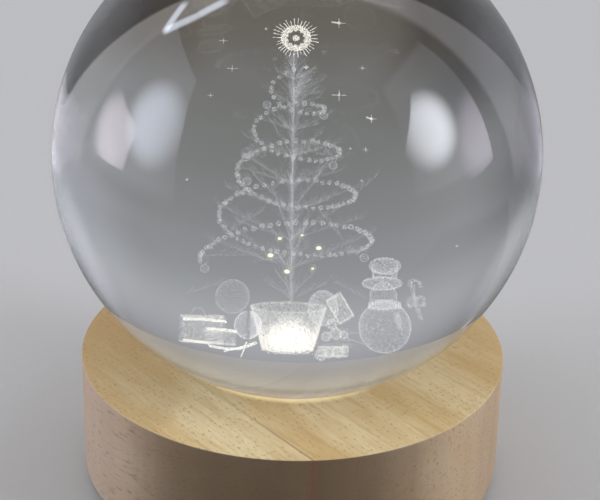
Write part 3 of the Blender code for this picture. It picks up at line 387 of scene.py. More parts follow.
screw_look = steel("screw_steel", (0.62, 0.62, 0.60), 0.28)
for number, (side_x, side_y) in enumerate(((1, 1), (-1, 1), (-1, -1), (1, -1)), 1):
    centre = Vector((side_x * SCREW_PLACE, side_y * SCREW_PLACE, 0))
    bm = bmesh.new()
    profile = [(0, SCREW_LOW), (HEAD_RADIUS, SCREW_LOW), (SHANK_RADIUS, SCREW_LOW + HEAD_HEIGHT)]
    height = SCREW_LOW + HEAD_HEIGHT + RIDGE_PITCH
    while height < SCREW_TIP - SCREW_POINT:
        profile += [(SHANK_RADIUS, height), (SHANK_RADIUS - RIDGE_DEEP, height + RIDGE_PITCH / 3),
                    (SHANK_RADIUS - RIDGE_DEEP, height + 2 * RIDGE_PITCH / 3)]
        height += RIDGE_PITCH
    profile += [(SHANK_RADIUS, SCREW_TIP - SCREW_POINT), (0, SCREW_TIP)]
    lathe(bm, profile, 48, False, Matrix.Translation(centre))
    screw = piece(bm, f"cross_screw_{number}", screw_look)
    for size in ((CROSS_LENGTH, CROSS_WIDTH), (CROSS_WIDTH, CROSS_LENGTH)):
        bm = bmesh.new()
        block(bm, centre + Vector((0, 0, SCREW_LOW)), (*size, 2 * CROSS_DEEP))
        carve(screw, piece(bm, "cross_cutter"))
    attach(screw, "base")
    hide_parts(f"cover_screw_{number}")
dress(screw_look, *numbered("led_board_screw", 3), *numbered("control_board_screw", 2))

# Light board: a round circuit board with white mask over its copper, screwed up under the
# well. Two ring tracks feed the light sources, which sit on tinned pads that point outwards.
LED_CIRCLE, LED_TURN = 0.011296, math.radians(13.2)
RESISTOR_CIRCLE = 0.006707
TRACK_HALF, PAD_NEAR, PAD_FAR, PAD_HALF = 0.0005, 0.0013, 0.0023, 0.0012


def polar(place, radius, count):
    """How far out, how far round and how far away the nearest of like parts in a ring is."""
    flat = scaled(place, (1, 1, 0))
    x, y, _ = split(flat)
    step = math.tau / count
    turn = maths("SUBTRACT", maths("ARCTAN2", y, x), LED_TURN - step / 2)
    turn = maths("SUBTRACT", maths("FLOORED_MODULO", turn, step), step / 2)
    reach = vector_maths("LENGTH", flat)
    out = maths("SUBTRACT", times(reach, maths("COSINE", turn)), radius)
    round_it = times(reach, maths("SINE", turn))
    away = maths("SQRT", maths("ADD", times(out, out), times(round_it, round_it)))
    return maths("ABSOLUTE", out), maths("ABSOLUTE", round_it), away, reach


look, shader, place = new_look("white_board", roughness=0.4)
out, round_it, away, reach = polar(place, LED_CIRCLE, 6)
tracks = 0.0
to_track = PAD_NEAR + TRACK_HALF
for radius in (LED_CIRCLE - to_track, LED_CIRCLE + to_track, RESISTOR_CIRCLE):
    off = maths("ABSOLUTE", maths("SUBTRACT", reach, radius))
    tracks = maths("MAXIMUM", ramp(off, TRACK_HALF + 0.00008, TRACK_HALF), tracks)
pads = times(ramp(out, PAD_FAR, PAD_FAR - 0.00005), ramp(round_it, PAD_HALF, PAD_HALF - 0.00005))
ink = noise(place, 2600.0, 3.0)
mask = blend(tracks, (0.80, 0.80, 0.77), (0.72, 0.71, 0.64))
mask = blend(ramp(ink, 0.3, 0.8, 0.0, 0.12), mask, (0.60, 0.60, 0.58))
feed(shader, "Base Color", blend(pads, mask, (0.60, 0.60, 0.59)))
feed(shader, "Metallic", pads)
feed(shader, "Roughness", ramp(ink, 0.3, 0.7, 0.30, 0.45))
roughen(shader, maths("ADD", tracks, times(ink, 0.2)), 0.6, 0.00003)
dress(look, "led_board")

# Light sources: six surface-mount cups of white plastic, each filled with yellow phosphor
# that turns the chip's blue light to warm white. They shine up into the glass ball.
LIT_STRENGTH = 5.0

look, shader, place = new_look("led_frame", (0.90, 0.90, 0.87), 0.45)
cast = noise(place, 3000.0, 3.0)
skin(shader, blend(cast, (0.84, 0.84, 0.80), (0.92, 0.92, 0.89)), cast, 0.38, 0.52, 0.3, 0.00003)
dress(look, *numbered("led_frame", 6))
look, shader, place = new_look("led_phosphor", roughness=0.35)
out, round_it, away, reach = polar(place, LED_CIRCLE, 6)
grains = noise(place, 5200.0, 3.0, 0.7)
chip = ramp(away, 0.0010, 0.0003)
feed(shader, "Base Color", blend(ramp(grains, 0.3, 0.7), (0.88, 0.60, 0.10), (0.98, 0.76, 0.22)))
feed(shader, "Emission Color", blend(chip, (1.0, 0.66, 0.26), (1.0, 0.88, 0.60)))
lit = ramp(grains, 0.2, 0.8, 0.8 * LIT_STRENGTH, 1.2 * LIT_STRENGTH)
feed(shader, "Emission Strength", times(maths("ADD", times(chip, 1.5), 1.0), lit))
roughen(shader, grains, 0.4, 0.00004)
dress(look, *numbered("led_phosphor", 6))

# Chip resistors: small black blocks of coated ceramic with tinned ends, three on the light
# board and two on the control board, soldered flat on their pads.
END_START = 0.00065


def chip_look(name, half_way):
    """Black coated ceramic whose ends, past END_START from its middle, are tinned."""
    look, shader, place = new_look(name, roughness=0.4)
    tinned = ramp(half_way(place), END_START - 0.00003, END_START + 0.00003)
    speck = noise(place, 6000.0, 3.0)
    body = blend(speck, (0.012, 0.012, 0.014), (0.05, 0.05, 0.055))
    skin(shader, blend(tinned, body, (0.66, 0.66, 0.65)), speck, 0.28, 0.5, 0.3, 0.00003)
    feed(shader, "Metallic", tinned)
    return look


def sideways(centre_x):
    """Distance from the middle of a part that lies along X."""
    return lambda place: maths("ABSOLUTE", maths("SUBTRACT", split(place)[0], centre_x))


dress(chip_look("ring_chip", lambda place: polar(place, RESISTOR_CIRCLE, 3)[1]),
      *numbered("led_resistor", 3))
for name in numbered("control_resistor", 2):
    low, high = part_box(name)
    dress(chip_look(name + "_chip", sideways((low[0] + high[0]) / 2)), name)

# Leads: two stranded wires in soft coloured insulation, from the control board up to the
# light board, soldered at both ends.


def insulation(name, colour):
    """Soft extruded plastic with faint draw marks and a slight sheen."""
    look, shader, place = new_look(name, colour, 0.4)
    marks = noise(scaled(place, (1, 1, 0.3)), 2400.0, 3.0)
    worn = blend(ramp(marks, 0.3, 0.8), colour, tuple(0.75 * c for c in colour))
    skin(shader, worn, marks, 0.32, 0.5, 0.3, 0.00004)
    return look


dress(insulation("red_insulation", (0.55, 0.02, 0.015)), "lead_red")
dress(insulation("black_insulation", (0.02, 0.02, 0.022)), "lead_black")

# Control board: glass-fibre board with green mask over fine copper tracks. It sits on the
# cover's bosses and pegs and carries the capacitor, the push switch and the power inlet.
look, shader, place = new_look("green_board", roughness=0.35)
weave = add_node(place, "ShaderNodeTexBrick", {
    "Vector": place, "Scale": 260.0, "Mortar Size": 0.06, "Mortar": (0.07, 0.34, 0.14, 1),
    "Color1": (0.02, 0.15, 0.06, 1), "Color2": (0.03, 0.20, 0.08, 1)}).outputs
glass = noise(place, 3400.0)
mask = blend(ramp(glass, 0.4, 0.8, 0.0, 0.3), weave["Color"], (0.06, 0.24, 0.12))
feed(shader, "Base Color", mask)
feed(shader, "Roughness", ramp(glass, 0.3, 0.7, 0.28, 0.42))
roughen(shader, weave["Fac"], 0.5, 0.00003)
dress(look, "control_board")
look, shader, place = new_look("capacitor_case", roughness=0.4)
band = ramp(split(place)[0], 0.00575, 0.00585)
mould = noise(place, 4200.0, 3.0)
case = blend(mould, (0.60, 0.33, 0.05), (0.72, 0.42, 0.08))
feed(shader, "Base Color", blend(band, case, (0.12, 0.05, 0.02)))
roughen(shader, mould, 0.3, 0.00003)
dress(look, "control_capacitor")

# Push switch: a latching switch in a black case on the control board, with six tinned
# pins and a white sliding stem that carries the button.


def moulded(name, dark, light, roughness):
    """Plain moulded plastic with a fine texture from the tool."""
    look, shader, place = new_look(name, dark, roughness)
    grain = noise(place, 4200.0, 4.0, 0.7)
    skin(shader, blend(ramp(grain, 0.3, 0.75), dark, light), grain,
         0.8 * roughness, 1.25 * roughness, 0.4, 0.00003)
    return look


dress(moulded("switch_plastic", (0.020, 0.020, 0.022), (0.045, 0.045, 0.048), 0.45), "switch_body")
dress(moulded("stem_plastic", (0.74, 0.74, 0.70), (0.84, 0.84, 0.81), 0.40), "switch_stem")
dress(steel("tinned_pin", (0.72, 0.72, 0.70), 0.30), *numbered("switch_terminal", 6))

# Power inlet: a drawn steel sleeve round a black insulator with a tongue, and three gold
# strips on each face of the tongue. It is soldered to the control board by its legs.
dress(steel("inlet_steel", (0.70, 0.70, 0.71), 0.24), "inlet_shell")
dress(moulded("inlet_plastic", (0.014, 0.014, 0.016), (0.034, 0.034, 0.036), 0.48),
      "inlet_insulator")
look, shader, place = new_look("contact_gold", (0.90, 0.66, 0.26), 0.25, 1.0)
wipe = noise(place, (6000, 300, 6000), 3.0)
feed(shader, "Base Color", blend(ramp(wipe, 0.4, 0.75), (0.92, 0.68, 0.28), (0.70, 0.48, 0.18)))
feed(shader, "Roughness", ramp(wipe, 0.3, 0.7, 0.18, 0.36))
dress(look, *numbered("upper_contact", 3), *numbered("lower_contact", 3))

# Rear bezel: a moulded plate pushed into the window of the wood from inside. Its face
# follows the round base, with an opening for the inlet and a round hole for the button.
BEZEL_BACK, BEZEL_FACE_RADIUS = 0.0323, 0.03595
BEZEL_HALF, BEZEL_HALF_HEIGHT = 0.01067, 0.0040
INLET_X, MOUTH_HALF, MOUTH_HALF_HEIGHT = -0.0044, 0.00477, 0.00188
BUTTON_X, BUTTON_HOLE = 0.0049, 0.0025
EDGE_BREAK = 0.00012

bm = bmesh.new()
lathe(bm, [(0, 0), (BEZEL_FACE_RADIUS, 0), (BEZEL_FACE_RADIUS, WOOD_TOP), (0, WOOD_TOP)],
      LATHE_STEPS, False)
face_form = piece(bm, "bezel_face")
look = moulded("bezel_plastic", (0.022, 0.022, 0.024), (0.045, 0.045, 0.047), 0.45)
bezel = piece(round_ended(BEZEL_HALF, BEZEL_HALF_HEIGHT, 0, BEZEL_BACK, WOOD_RADIUS + EDGE_BREAK),
              "window_bezel", look)
carve(bezel, face_form, "INTERSECT")
for half_width, half_height, x in ((MOUTH_HALF, MOUTH_HALF_HEIGHT, INLET_X),
                                   (BUTTON_HOLE, BUTTON_HOLE - EDGE_BREAK / 100, BUTTON_X)):
    carve(bezel, piece(round_ended(half_width, half_height, x, BEZEL_BACK / 2, 2 * BEZEL_BACK),
                       "mouth_cutter"))
soften = bezel.modifiers.new("edges", "BEVEL")
soften.width = EDGE_BREAK
soften.segments = 2
soften.limit_method = "ANGLE"
soften.angle_limit = math.radians(55)
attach(bezel, "base")
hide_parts("rear_bezel")

# Button: a small round cap with a rounded rim and a dished face. A lip behind the bezel
# keeps it in, and a square socket takes the switch's stem.
CAP_RADIUS, CAP_LIP_RADIUS, CAP_ROUND, CAP_DISH = 0.0022, 0.0028, 0.0006, 0.00018
CAP_SKIRT, CAP_SKIRT_RADIUS, CAP_TOP, LIP_LOW, LIP_HIGH = 0.0283, 0.0025, 0.036517, 0.0312, 0.0320
SOCKET_HALF, SOCKET_DEEP = 0.0013, 0.0030

bm = bmesh.new()
profile = [(0, CAP_SKIRT), (CAP_SKIRT_RADIUS, CAP_SKIRT), (CAP_SKIRT_RADIUS, LIP_LOW),
           (CAP_LIP_RADIUS, LIP_LOW), (CAP_LIP_RADIUS, LIP_HIGH), (CAP_RADIUS, LIP_HIGH)]
profile += quarter((CAP_RADIUS - CAP_ROUND, CAP_TOP - CAP_ROUND), CAP_ROUND, 0, 90, 8)
profile += [(0.0010, CAP_TOP - 0.8 * CAP_DISH), (0.0005, CAP_TOP - CAP_DISH),
            (0, CAP_TOP - CAP_DISH)]
stand = Matrix.Translation((BUTTON_X, 0, REAR_AXIS_Z)) @ Matrix.Rotation(math.radians(-90), 4, "X")
lathe(bm, profile, 72, False, stand)
look = moulded("button_plastic", (0.020, 0.020, 0.021), (0.040, 0.040, 0.041), 0.36)
button = piece(bm, "push_button", look)
bm = bmesh.new()
block(bm, (BUTTON_X, CAP_SKIRT, REAR_AXIS_Z), (2 * SOCKET_HALF, 2 * SOCKET_DEEP, 2 * SOCKET_HALF))
carve(button, piece(bm, "socket_cutter"), sharp=50)
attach(button, "button")
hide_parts("button_cap")

# Glass ball: solid optical glass, 80 mm across, ground and polished all over. It lies
# loose in the seat of the wooden base and carries the engraved picture inside it.
BALL_RADIUS = 0.0400
BALL_CENTRE = Vector((0, 0, 0.0588705))
BALL_CUTS = 7


def bead(bm, radius, centre, cuts=2):
    """Add a ball."""
    bmesh.ops.create_icosphere(bm, subdivisions=cuts, radius=radius,
                               matrix=Matrix.Translation(centre))


look, shader, place = new_look("crystal_glass", (0.985, 0.992, 1.0), 0.0)
shader.inputs["Transmission Weight"].default_value = 1.0
shader.inputs["IOR"].default_value = 1.52
melt = noise(place, 60.0, 3.0)
feed(shader, "Base Color", blend(melt, (0.970, 0.982, 0.988), (0.995, 0.998, 1.0)))
bm = bmesh.new()
bead(bm, BALL_RADIUS, BALL_CENTRE, BALL_CUTS)
ball = piece(bm, "glass_ball", look, 80)
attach(ball, "ball")
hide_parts("crystal_ball")

# Engraving: a laser's focus makes a tiny white crack in the glass at each point of the
# picture, so every figure is a cloud of flecks on its surfaces and along its lines.
# Their glow is painted light: an emission that stands in for the light from the base, warmest and
# brightest near the bottom.
MM = 0.001
FLECK_SIDES = 3
FLECK_GREY = (0.30, 0.30, 0.30)


def fleck_look(name, strength, warm_below=-30.0, warm_gain=1.0, tint=(0.95, 0.97, 1.0)):
    """White cracks with a painted glow, an emission that stands in for the light coming up through
    the glass.
    """
    look, shader, place = new_look(name + "_flecks", FLECK_GREY, 0.6)
    # Painted light: the glow is warmer and brighter below warm_below, nearer the base, and differs
    # at random from fleck to fleck.
    start = BALL_CENTRE.z + warm_below * MM
    low = ramp(split(place)["Z"], start + MM, start - MM)
    each = add_node(place, "ShaderNodeNewGeometry").outputs["Random Per Island"]
    glint = ramp(each, 0.0, 1.0, 0.45 * strength, 1.55 * strength)
    feed(shader, "Emission Strength", times(glint, maths("ADD", times(low, warm_gain), 1.0)))
    feed(shader, "Emission Color", blend(low, tint, (1.0, 0.97, 0.88)))
    look.cycles.emission_sampling = "NONE"
    return look


def engrave(bm, name, strength, per_mm2=12.0, step=0.10, size=0.03, spread=0.02, seed=1, **light):
    """Turn a figure's faces and loose lines into a cloud of flecks inside the ball.

    The figure is drawn in millimetres from the ball's centre. per_mm2 is how many flecks
    its faces get, step how far apart they are on its lines, and size each fleck's radius.
    """
    bmesh.ops.scale(bm, vec=(MM, MM, MM), verts=bm.verts)
    bmesh.ops.translate(bm, vec=BALL_CENTRE, verts=bm.verts)
    mesh = bpy.data.meshes.new(name)
    bm.to_mesh(mesh)
    bm.free()
    made = bpy.data.objects.new(name, mesh)
    bpy.context.scene.collection.objects.link(made)
    tree = bpy.data.node_groups.new(name, "GeometryNodeTree")
    tree.interface.new_socket("Geometry", in_out="INPUT", socket_type="NodeSocketGeometry")
    tree.interface.new_socket("Geometry", in_out="OUTPUT", socket_type="NodeSocketGeometry")

    def step_node(kind, inputs=None, output=0, **settings):
        return add_node(tree, kind, inputs, **settings).outputs[output]

    def random_vector(low, high, number):
        return step_node("FunctionNodeRandomValue", {0: (low,) * 3, 1: (high,) * 3, "Seed": number},
                         data_type="FLOAT_VECTOR")

    figure = step_node("NodeGroupInput")
    on_faces = step_node("GeometryNodeDistributePointsOnFaces", {
        "Mesh": figure, "Density": per_mm2 / MM ** 2, "Seed": seed}, "Points")
    neighbours = step_node("GeometryNodeInputMeshEdgeNeighbors")
    loose = step_node("FunctionNodeCompare", {2: neighbours, 3: 0}, data_type="INT",
                      operation="EQUAL")
    lines = step_node("GeometryNodeMeshToCurve", {"Mesh": figure, "Selection": loose})
    on_lines = step_node("GeometryNodeCurveToPoints", {"Curve": lines, "Length": step * MM},
                         "Points", mode="LENGTH")
    both = add_node(tree, "GeometryNodeJoinGeometry")
    for points in (on_faces, on_lines):
        tree.links.new(points, both.inputs[0])
    placed = step_node("GeometryNodeSetPosition", {
        "Geometry": both.outputs[0], "Offset": random_vector(-spread * MM, spread * MM, seed)})
    fleck = step_node("GeometryNodeMeshCone", {
        "Vertices": FLECK_SIDES, "Radius Top": 0.0, "Radius Bottom": size * MM,
        "Depth": 1.4 * size * MM}, "Mesh")
    swell = step_node("FunctionNodeRandomValue", {"Seed": seed + 2, 2: 0.6, 3: 1.4}, 1,
                      data_type="FLOAT")
    spots = step_node("GeometryNodeInstanceOnPoints", {
        "Points": placed, "Instance": fleck, "Scale": swell,
        "Rotation": random_vector(0.0, math.tau, seed + 1)})
    solid = step_node("GeometryNodeRealizeInstances", {0: spots})
    painted = step_node("GeometryNodeSetMaterial", {
        "Geometry": solid, "Material": fleck_look(name, strength, **light)})
    add_node(tree, "NodeGroupOutput", {0: painted})
    made.modifiers.new("flecks", "NODES").node_group = tree
    bpy.context.view_layer.update()
    made.data = bpy.data.meshes.new_from_object(
        made.evaluated_get(bpy.context.evaluated_depsgraph_get()))
    made.modifiers.clear()
    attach(made, "ball")


def stroke(bm, points):
    """Draw a line through points of (x, y, z)."""
    verts = [bm.verts.new(point) for point in points]
    for pair in zip(verts, verts[1:]):
        bm.edges.new(pair)


def drawn(bm, points, y=0.0):
    """Draw a line through points of (x, z) in one upright plane."""
    stroke(bm, [(x, y, z) for x, z in points])


def ring(bm, radius, place, segments=48):
    """Draw a circle as a line."""
    bmesh.ops.create_circle(bm, segments=segments, radius=radius, matrix=place)


def upright(x, z, y=0.0):
    """Place that turns a flat form to face the front, centred at (x, z)."""
    return Matrix.Translation((x, y, z)) @ Matrix.Rotation(math.radians(90), 4, "X")


# Tree topper: a bright medal on the tip of the tree. A wide stippled ring has ten rounded
# teeth inside, round a dark gap with a dot in its middle, and thin rays of uneven length.
TOPPER_X, TOPPER_Z = -0.42, 14.43
DOT_RADIUS, TOOTH_RADIUS, MEDAL_RADIUS = 0.40, 0.98, 1.72
TEETH, RAYS = 10, 34
dice = random.Random(3)
bm = bmesh.new()
inner = bmesh.ops.create_circle(bm, segments=8 * TEETH, radius=TOOTH_RADIUS)["verts"]
for vert in inner:
    turn = math.atan2(vert.co.y, vert.co.x)
    vert.co *= 1.0 + 0.13 * math.cos(TEETH * turn)
bmesh.ops.create_circle(bm, segments=8 * TEETH, radius=MEDAL_RADIUS)
bmesh.ops.bridge_loops(bm, edges=bm.edges[:])
bmesh.ops.create_circle(bm, cap_ends=True, segments=24, radius=DOT_RADIUS)
bmesh.ops.transform(bm, matrix=upright(TOPPER_X, TOPPER_Z), verts=bm.verts)
engrave(bm, "topper_medal", 0.88, tint=(1.0, 0.96, 0.86), per_mm2=620,
        size=0.031, spread=0.05, seed=11)
bm = bmesh.new()
for index in range(RAYS):
    turn = math.tau * (index + dice.uniform(-0.15, 0.15)) / RAYS
    reach = dice.uniform(2.15, 2.65) + 0.25 * max(0.0, math.sin(turn))
    stroke(bm, [(TOPPER_X + r * math.cos(turn), 0.1 * r * math.sin(3 * turn),
                 TOPPER_Z + r * math.sin(turn)) for r in (MEDAL_RADIUS, reach)])
engrave(bm, "topper_rays", 0.8, tint=(1.0, 0.97, 0.88), step=0.04,
        size=0.044, spread=0.03, seed=13)

# Fir tree: a straight trunk with rising branches at every tier, each set with fine
# needles, and brushes of steep needles along the trunk. All of it is faint and airy.
TRUNK_X = -0.5
TRUNK = [(-0.58, 0.0, 11.55), (-0.59, 0.0, 6.55), (-0.51, 0.0, 0.54), (-0.43, 0.0, -5.25),
         (-0.36, 0.0, -10.85), (-0.26, 0.0, -17.25)]
TREE_DEPTH = 0.6
TIERS, BRANCHES, TIER_TURN = 8, 6, math.radians(37)
TIER_TOP, TIER_LOW = (9.2, 1.95), (-12.9, 9.2)
BOUGHS = [(-9.2, -11.7, -3.8, -11.5), (-6.77, -8.72, -3.62, -6.58), (1.51, -3.19, 3.24, -1.26),
          (6.54, -4.25, 8.52, -2.32), (-2.39, -3.99, -1.33, -2.91), (5.05, -9.57, 2.87, -6.89),
          (-11.07, -15.8, -7.56, -14.63), (-4.49, -12.26, -0.9, -11.51),
          (-3.44, -12.01, -1.31, -12.19), (-0.46, 7.2, 1.31, 9.27), (-0.46, 7.2, 2.68, 9.06),
          (-0.46, 7.0, 2.47, 7.53), (-0.46, 7.3, 0.4, 9.6), (-0.4, -15.9, -2.94, -14.42),
          (0.3, -15.9, 3.38, -14.38), (7.58, -16.01, 4.22, -14.25), (-0.4, -15.2, -1.9, -13.2),
          (0.1, -15.3, 1.9, -13.4)]
dice = random.Random(5)
bm = bmesh.new()
for offset, low in ((-0.05, 0), (0.05, 0), (-0.14, 0), (0.14, 1), (0.0, 2), (-0.20, 3), (0.20, 3)):
    stroke(bm, [(x + offset, y + offset / 2, z) for x, y, z in TRUNK[low:]])
for top in (-1.25, -0.95, -0.72, -0.3, 0.0, 0.3, 0.5):
    stroke(bm, [(-0.58, 0, 10.0), (-0.58 + 0.3 * (top + 0.5), 0, 11.2), (top, 0, 12.5)])
engrave(bm, "trunk", 0.42, step=0.12, size=0.026, spread=0.07, seed=21)


def twig(bm, start, out, rise, length):
    """A straight needle from a point, out and up."""
    stroke(bm, [start, start + (out + Vector((0, 0, rise))).normalized() * length])


bm = bmesh.new()
for index in range(760):
    height = -16.8 + 28.6 * index / 759
    turn = dice.uniform(0, math.tau)
    root = Vector((-0.58 + 0.011 * (11.5 - height), 0, height))
    twig(bm, root, Vector((math.cos(turn), math.sin(turn), 0)), dice.uniform(1.4, 4.0),
         dice.uniform(0.7, 2.3) * (1.0 if height < 9 else 1.3))
for height in (10.2, 7.6, 6.6, 4.6, 2.2, -0.6, -4.0, -8.2, -12.2, -15.6):
    for index in range(30):
        turn = dice.uniform(0, math.tau)
        out = Vector((math.cos(turn), math.sin(turn), 0))
        twig(bm, Vector((TRUNK_X, 0, height + dice.uniform(-0.4, 0.4))), out,
             dice.uniform(0.6, 1.8), dice.uniform(1.4, 3.4))
for index in range(90):
    slant = dice.uniform(0.3, 2.2)
    twig(bm, Vector((TRUNK_X, dice.uniform(-1.0, 1.0), dice.uniform(6.4, 8.4))), Vector((1, 0, 0)),
         slant, dice.uniform(1.8, 3.9))
boughs = [(Vector((a, 0, b)), Vector((c, 0, d))) for a, b, c, d in BOUGHS]
for tier in range(TIERS):
    share = tier / (TIERS - 1)
    height = TIER_TOP[0] + (TIER_LOW[0] - TIER_TOP[0]) * share
    reach = TIER_TOP[1] + (TIER_LOW[1] - TIER_TOP[1]) * share
    for branch in range(BRANCHES):
        turn = TIER_TURN * tier + math.tau * branch / BRANCHES
        root = Vector((TRUNK_X, 0.0, height))
        out = Vector((math.cos(turn), TREE_DEPTH * math.sin(turn), 0.4)) * reach
        boughs.append((root, root + out))
for root, tip in boughs:
    out = tip - root
    steps = max(4, round(out.length / 0.62))
    stroke(bm, [root, tip])
    for s in range(1, steps + 1):
        for side in (-1, 1, -1, 1, -1, 1):
            flat = Vector((dice.uniform(-0.5, 0.5), side * 0.5, dice.uniform(0.2, 1.2)))
            twig(bm, root + out * ((s - dice.uniform(0, 1)) / steps), out.normalized() + flat, 0.0,
                 dice.uniform(0.6, 1.5))
engrave(bm, "fir_branches", 0.48, tint=(0.9, 0.95, 1.0), step=0.155,
        size=0.019, spread=0.05, seed=22)

# Garland: a string of small beads that winds down the tree in a widening spiral, just over
# four turns, from beside the tip to the lowest branches, with tufts of tinsel between.
BEAD_RADIUS = 0.26
BEAD_PITCH = 0.86
GARLAND_TURNS = (0.5 * math.pi, 9.0 * math.pi)
TUFTS = [(-5.37, -0.15), (-4.7, 0.25), (1.67, 0.86), (2.5, 0.6), (-5.48, -3.13), (-3.83, 0.0),
         (3.66, 0.31), (3.23, -0.06), (-9.5, -12.2), (0.9, 5.3), (1.9, 5.25), (6.9, -11.0)]


def garland_place(turn):
    """Middle of the string at a turn angle."""
    half_turns = (turn - math.pi) / math.pi
    radius = 2.55 + 0.85 * half_turns
    return Vector((TRUNK_X + radius * math.cos(turn), radius * math.sin(turn),
                   7.97 - 2.545 * half_turns))


dice = random.Random(7)
bm = bmesh.new()
turn = GARLAND_TURNS[0]
while turn < GARLAND_TURNS[1]:
    spot = garland_place(turn)
    bead(bm, BEAD_RADIUS * dice.uniform(0.8, 1.15),
         spot + Vector((dice.uniform(-0.1, 0.1), 0, dice.uniform(-0.12, 0.12))), 1)
    turn += BEAD_PITCH / max(1.2, math.hypot(spot.x - TRUNK_X, spot.y))
engrave(bm, "garland", 0.64, per_mm2=85, size=0.027, spread=0.06, seed=31)
bm = bmesh.new()
stroke(bm, [garland_place(GARLAND_TURNS[0] + step * math.pi / 24) for step in range(205)])
engrave(bm, "garland_thread", 0.40, step=0.045, size=0.021, spread=0.30, seed=32)
bm = bmesh.new()
for x, z in TUFTS:
    bead(bm, dice.uniform(0.5, 0.75), (x, 0.4, z))
engrave(bm, "tinsel", 0.46, per_mm2=26, size=0.024, spread=0.16, seed=33)

# Baubles: seven small balls hung at the ends of branches, each with rings round it.
BAUBLES = [(-3.44, 6.16), (2.85, 5.01), (3.92, -0.9), (7.3, -11.33), (-9.35, -12.89),
           (-5.51, -0.17), (-5.3, -2.96)]
BAUBLE_RADIUS = 0.46
bm = bmesh.new()
for x, z in BAUBLES:
    bead(bm, BAUBLE_RADIUS, (x, -0.6, z))
    for share in (-0.5, 0.0, 0.5):
        ring(bm, BAUBLE_RADIUS * math.sqrt(1 - share ** 2), Matrix.Translation(
             (x, -0.6, z + share * BAUBLE_RADIUS)), 20)
    ring(bm, BAUBLE_RADIUS, upright(x, z, -0.6), 24)
engrave(bm, "baubles", 0.60, tint=(0.88, 0.94, 1.0), per_mm2=30, step=0.1,
        size=0.026, seed=41)

# Sparkles: small four-pointed stars in the air round the tree, two of them with a tail.
SPARKLES = [(4.49, 16.63, 0.75, 1.0), (4.5, 7.28, 0.80, 0.6), (-8.68, 13.95, 0.5, 0.4),
            (-7.48, 10.32, 0.55, 0.4), (-9.72, 6.92, 0.3, 0.3), (8.06, 4.49, 0.55, 0.9),
            (7.13, 10.74, 0.35, 0.25), (-3.88, 15.59, 0.22, 0.2), (0.8, 10.66, 0.3, 0.9),
            (-11.74, -3.18, 0.15, 0.2), (5.77, 0.88, 0.15, 0.2), (7.42, 0.76, 0.35, 0.3),
            (6.98, -2.87, 0.15, 0.3), (17.09, -10.07, 0.12, 0.3)]
for name, strength, first, last in (("sparkles", 0.9, 0.45, 1.0),
                                    ("faint_sparkles", 0.5, 0.0, 0.45)):
    bm = bmesh.new()
    for x, z, reach, full in SPARKLES:
        if first < full <= last:
            drawn(bm, [(x - reach, z), (x + reach, z)])
            drawn(bm, [(x, z - 0.8 * reach), (x, z + 0.8 * reach)])
            bead(bm, 0.10 + 0.12 * full, (x, 0, z), 1)
    if name == "sparkles":
        for shift in (-0.07, 0.0, 0.07):
            drawn(bm, [(3.65, 16.75 + shift), (4.49, 16.63 + shift)])
            drawn(bm, [(7.5, 4.70 + shift / 2), (8.06, 4.49 + shift / 2)])
    engrave(bm, name, strength, per_mm2=90, step=0.05, size=0.026, spread=0.012, seed=51,
            tint=(1.0, 1.0, 0.96))

# Tub: the round planter that the tree stands in, a thin tapered wall with a bright rim. It
# is right over the light, so its lower half glows brighter than anything else.
TUB_X, RIM_Z, TUB_LOW, RIM_RADIUS, TUB_FOOT_RADIUS = -0.52, -16.95, -21.3, 3.80, 2.45
TUB_DEPTH = 0.55
OVAL = Matrix.Diagonal((1.0, TUB_DEPTH, 1.0, 1.0))
GLOW = [(-17.9, 0.25), (-18.3, 0.40), (-18.7, 0.50), (-19.05, 0.60), (-19.4, 0.74), (-19.8, 0.85),
        (-20.2, 0.92), (-20.6, 0.95), (-21.0, 0.95), (-21.3, 0.9)]
bm = bmesh.new()
bmesh.ops.create_cone(bm, cap_ends=False, segments=48, radius1=TUB_FOOT_RADIUS, radius2=RIM_RADIUS,
                      depth=RIM_Z - TUB_LOW,
                      matrix=Matrix.Translation((TUB_X, 0, (RIM_Z + TUB_LOW) / 2)) @ OVAL)
engrave(bm, "tub_wall", 0.55, warm_below=-18.7, warm_gain=0.7, tint=(1.0, 0.99, 0.96), per_mm2=330,
        size=0.025, spread=0.16, seed=61)
bm = bmesh.new()
for radius, height in ((RIM_RADIUS, RIM_Z), (RIM_RADIUS + 0.04, RIM_Z - 0.05),
                       (RIM_RADIUS - 0.15, RIM_Z - 0.12)):
    ring(bm, radius, Matrix.Translation((TUB_X, 0, height)) @ OVAL, 64)
for turn in list(range(166, 196, 4)) + list(range(-16, 14, 4)):
    out = Vector((math.cos(math.radians(turn)), TUB_DEPTH * math.sin(math.radians(turn)), 0))
    stroke(bm, [Vector((TUB_X, 0, RIM_Z)) + out * RIM_RADIUS,
                Vector((TUB_X, 0, TUB_LOW)) + out * TUB_FOOT_RADIUS])
engrave(bm, "tub_rim", 0.62, tint=(1.0, 0.98, 0.90), step=0.07, size=0.032,
        spread=0.04, seed=63)
bm = bmesh.new()
for level, share in GLOW:
    rise = (level - TUB_LOW) / (RIM_Z - TUB_LOW)
    wall_radius = TUB_FOOT_RADIUS + (RIM_RADIUS - TUB_FOOT_RADIUS) * rise
    bmesh.ops.create_circle(bm, cap_ends=True, segments=40, radius=share * wall_radius,
                            matrix=Matrix.Translation((TUB_X + 0.15, 0, level)) @ OVAL)
engrave(bm, "tub_glow", 0.80, warm_below=-18.6, warm_gain=0.6, tint=(1.0, 0.99, 0.95), per_mm2=88,
        size=0.034, spread=0.34, seed=65)

# Round ornaments: two thin balls at the left of the tub. The lower one has a dark gap down
# its middle, and the half beside the tub catches the light.
GAP_X, GAP_HALF, LIT_FROM = -4.57, 0.14, -4.40

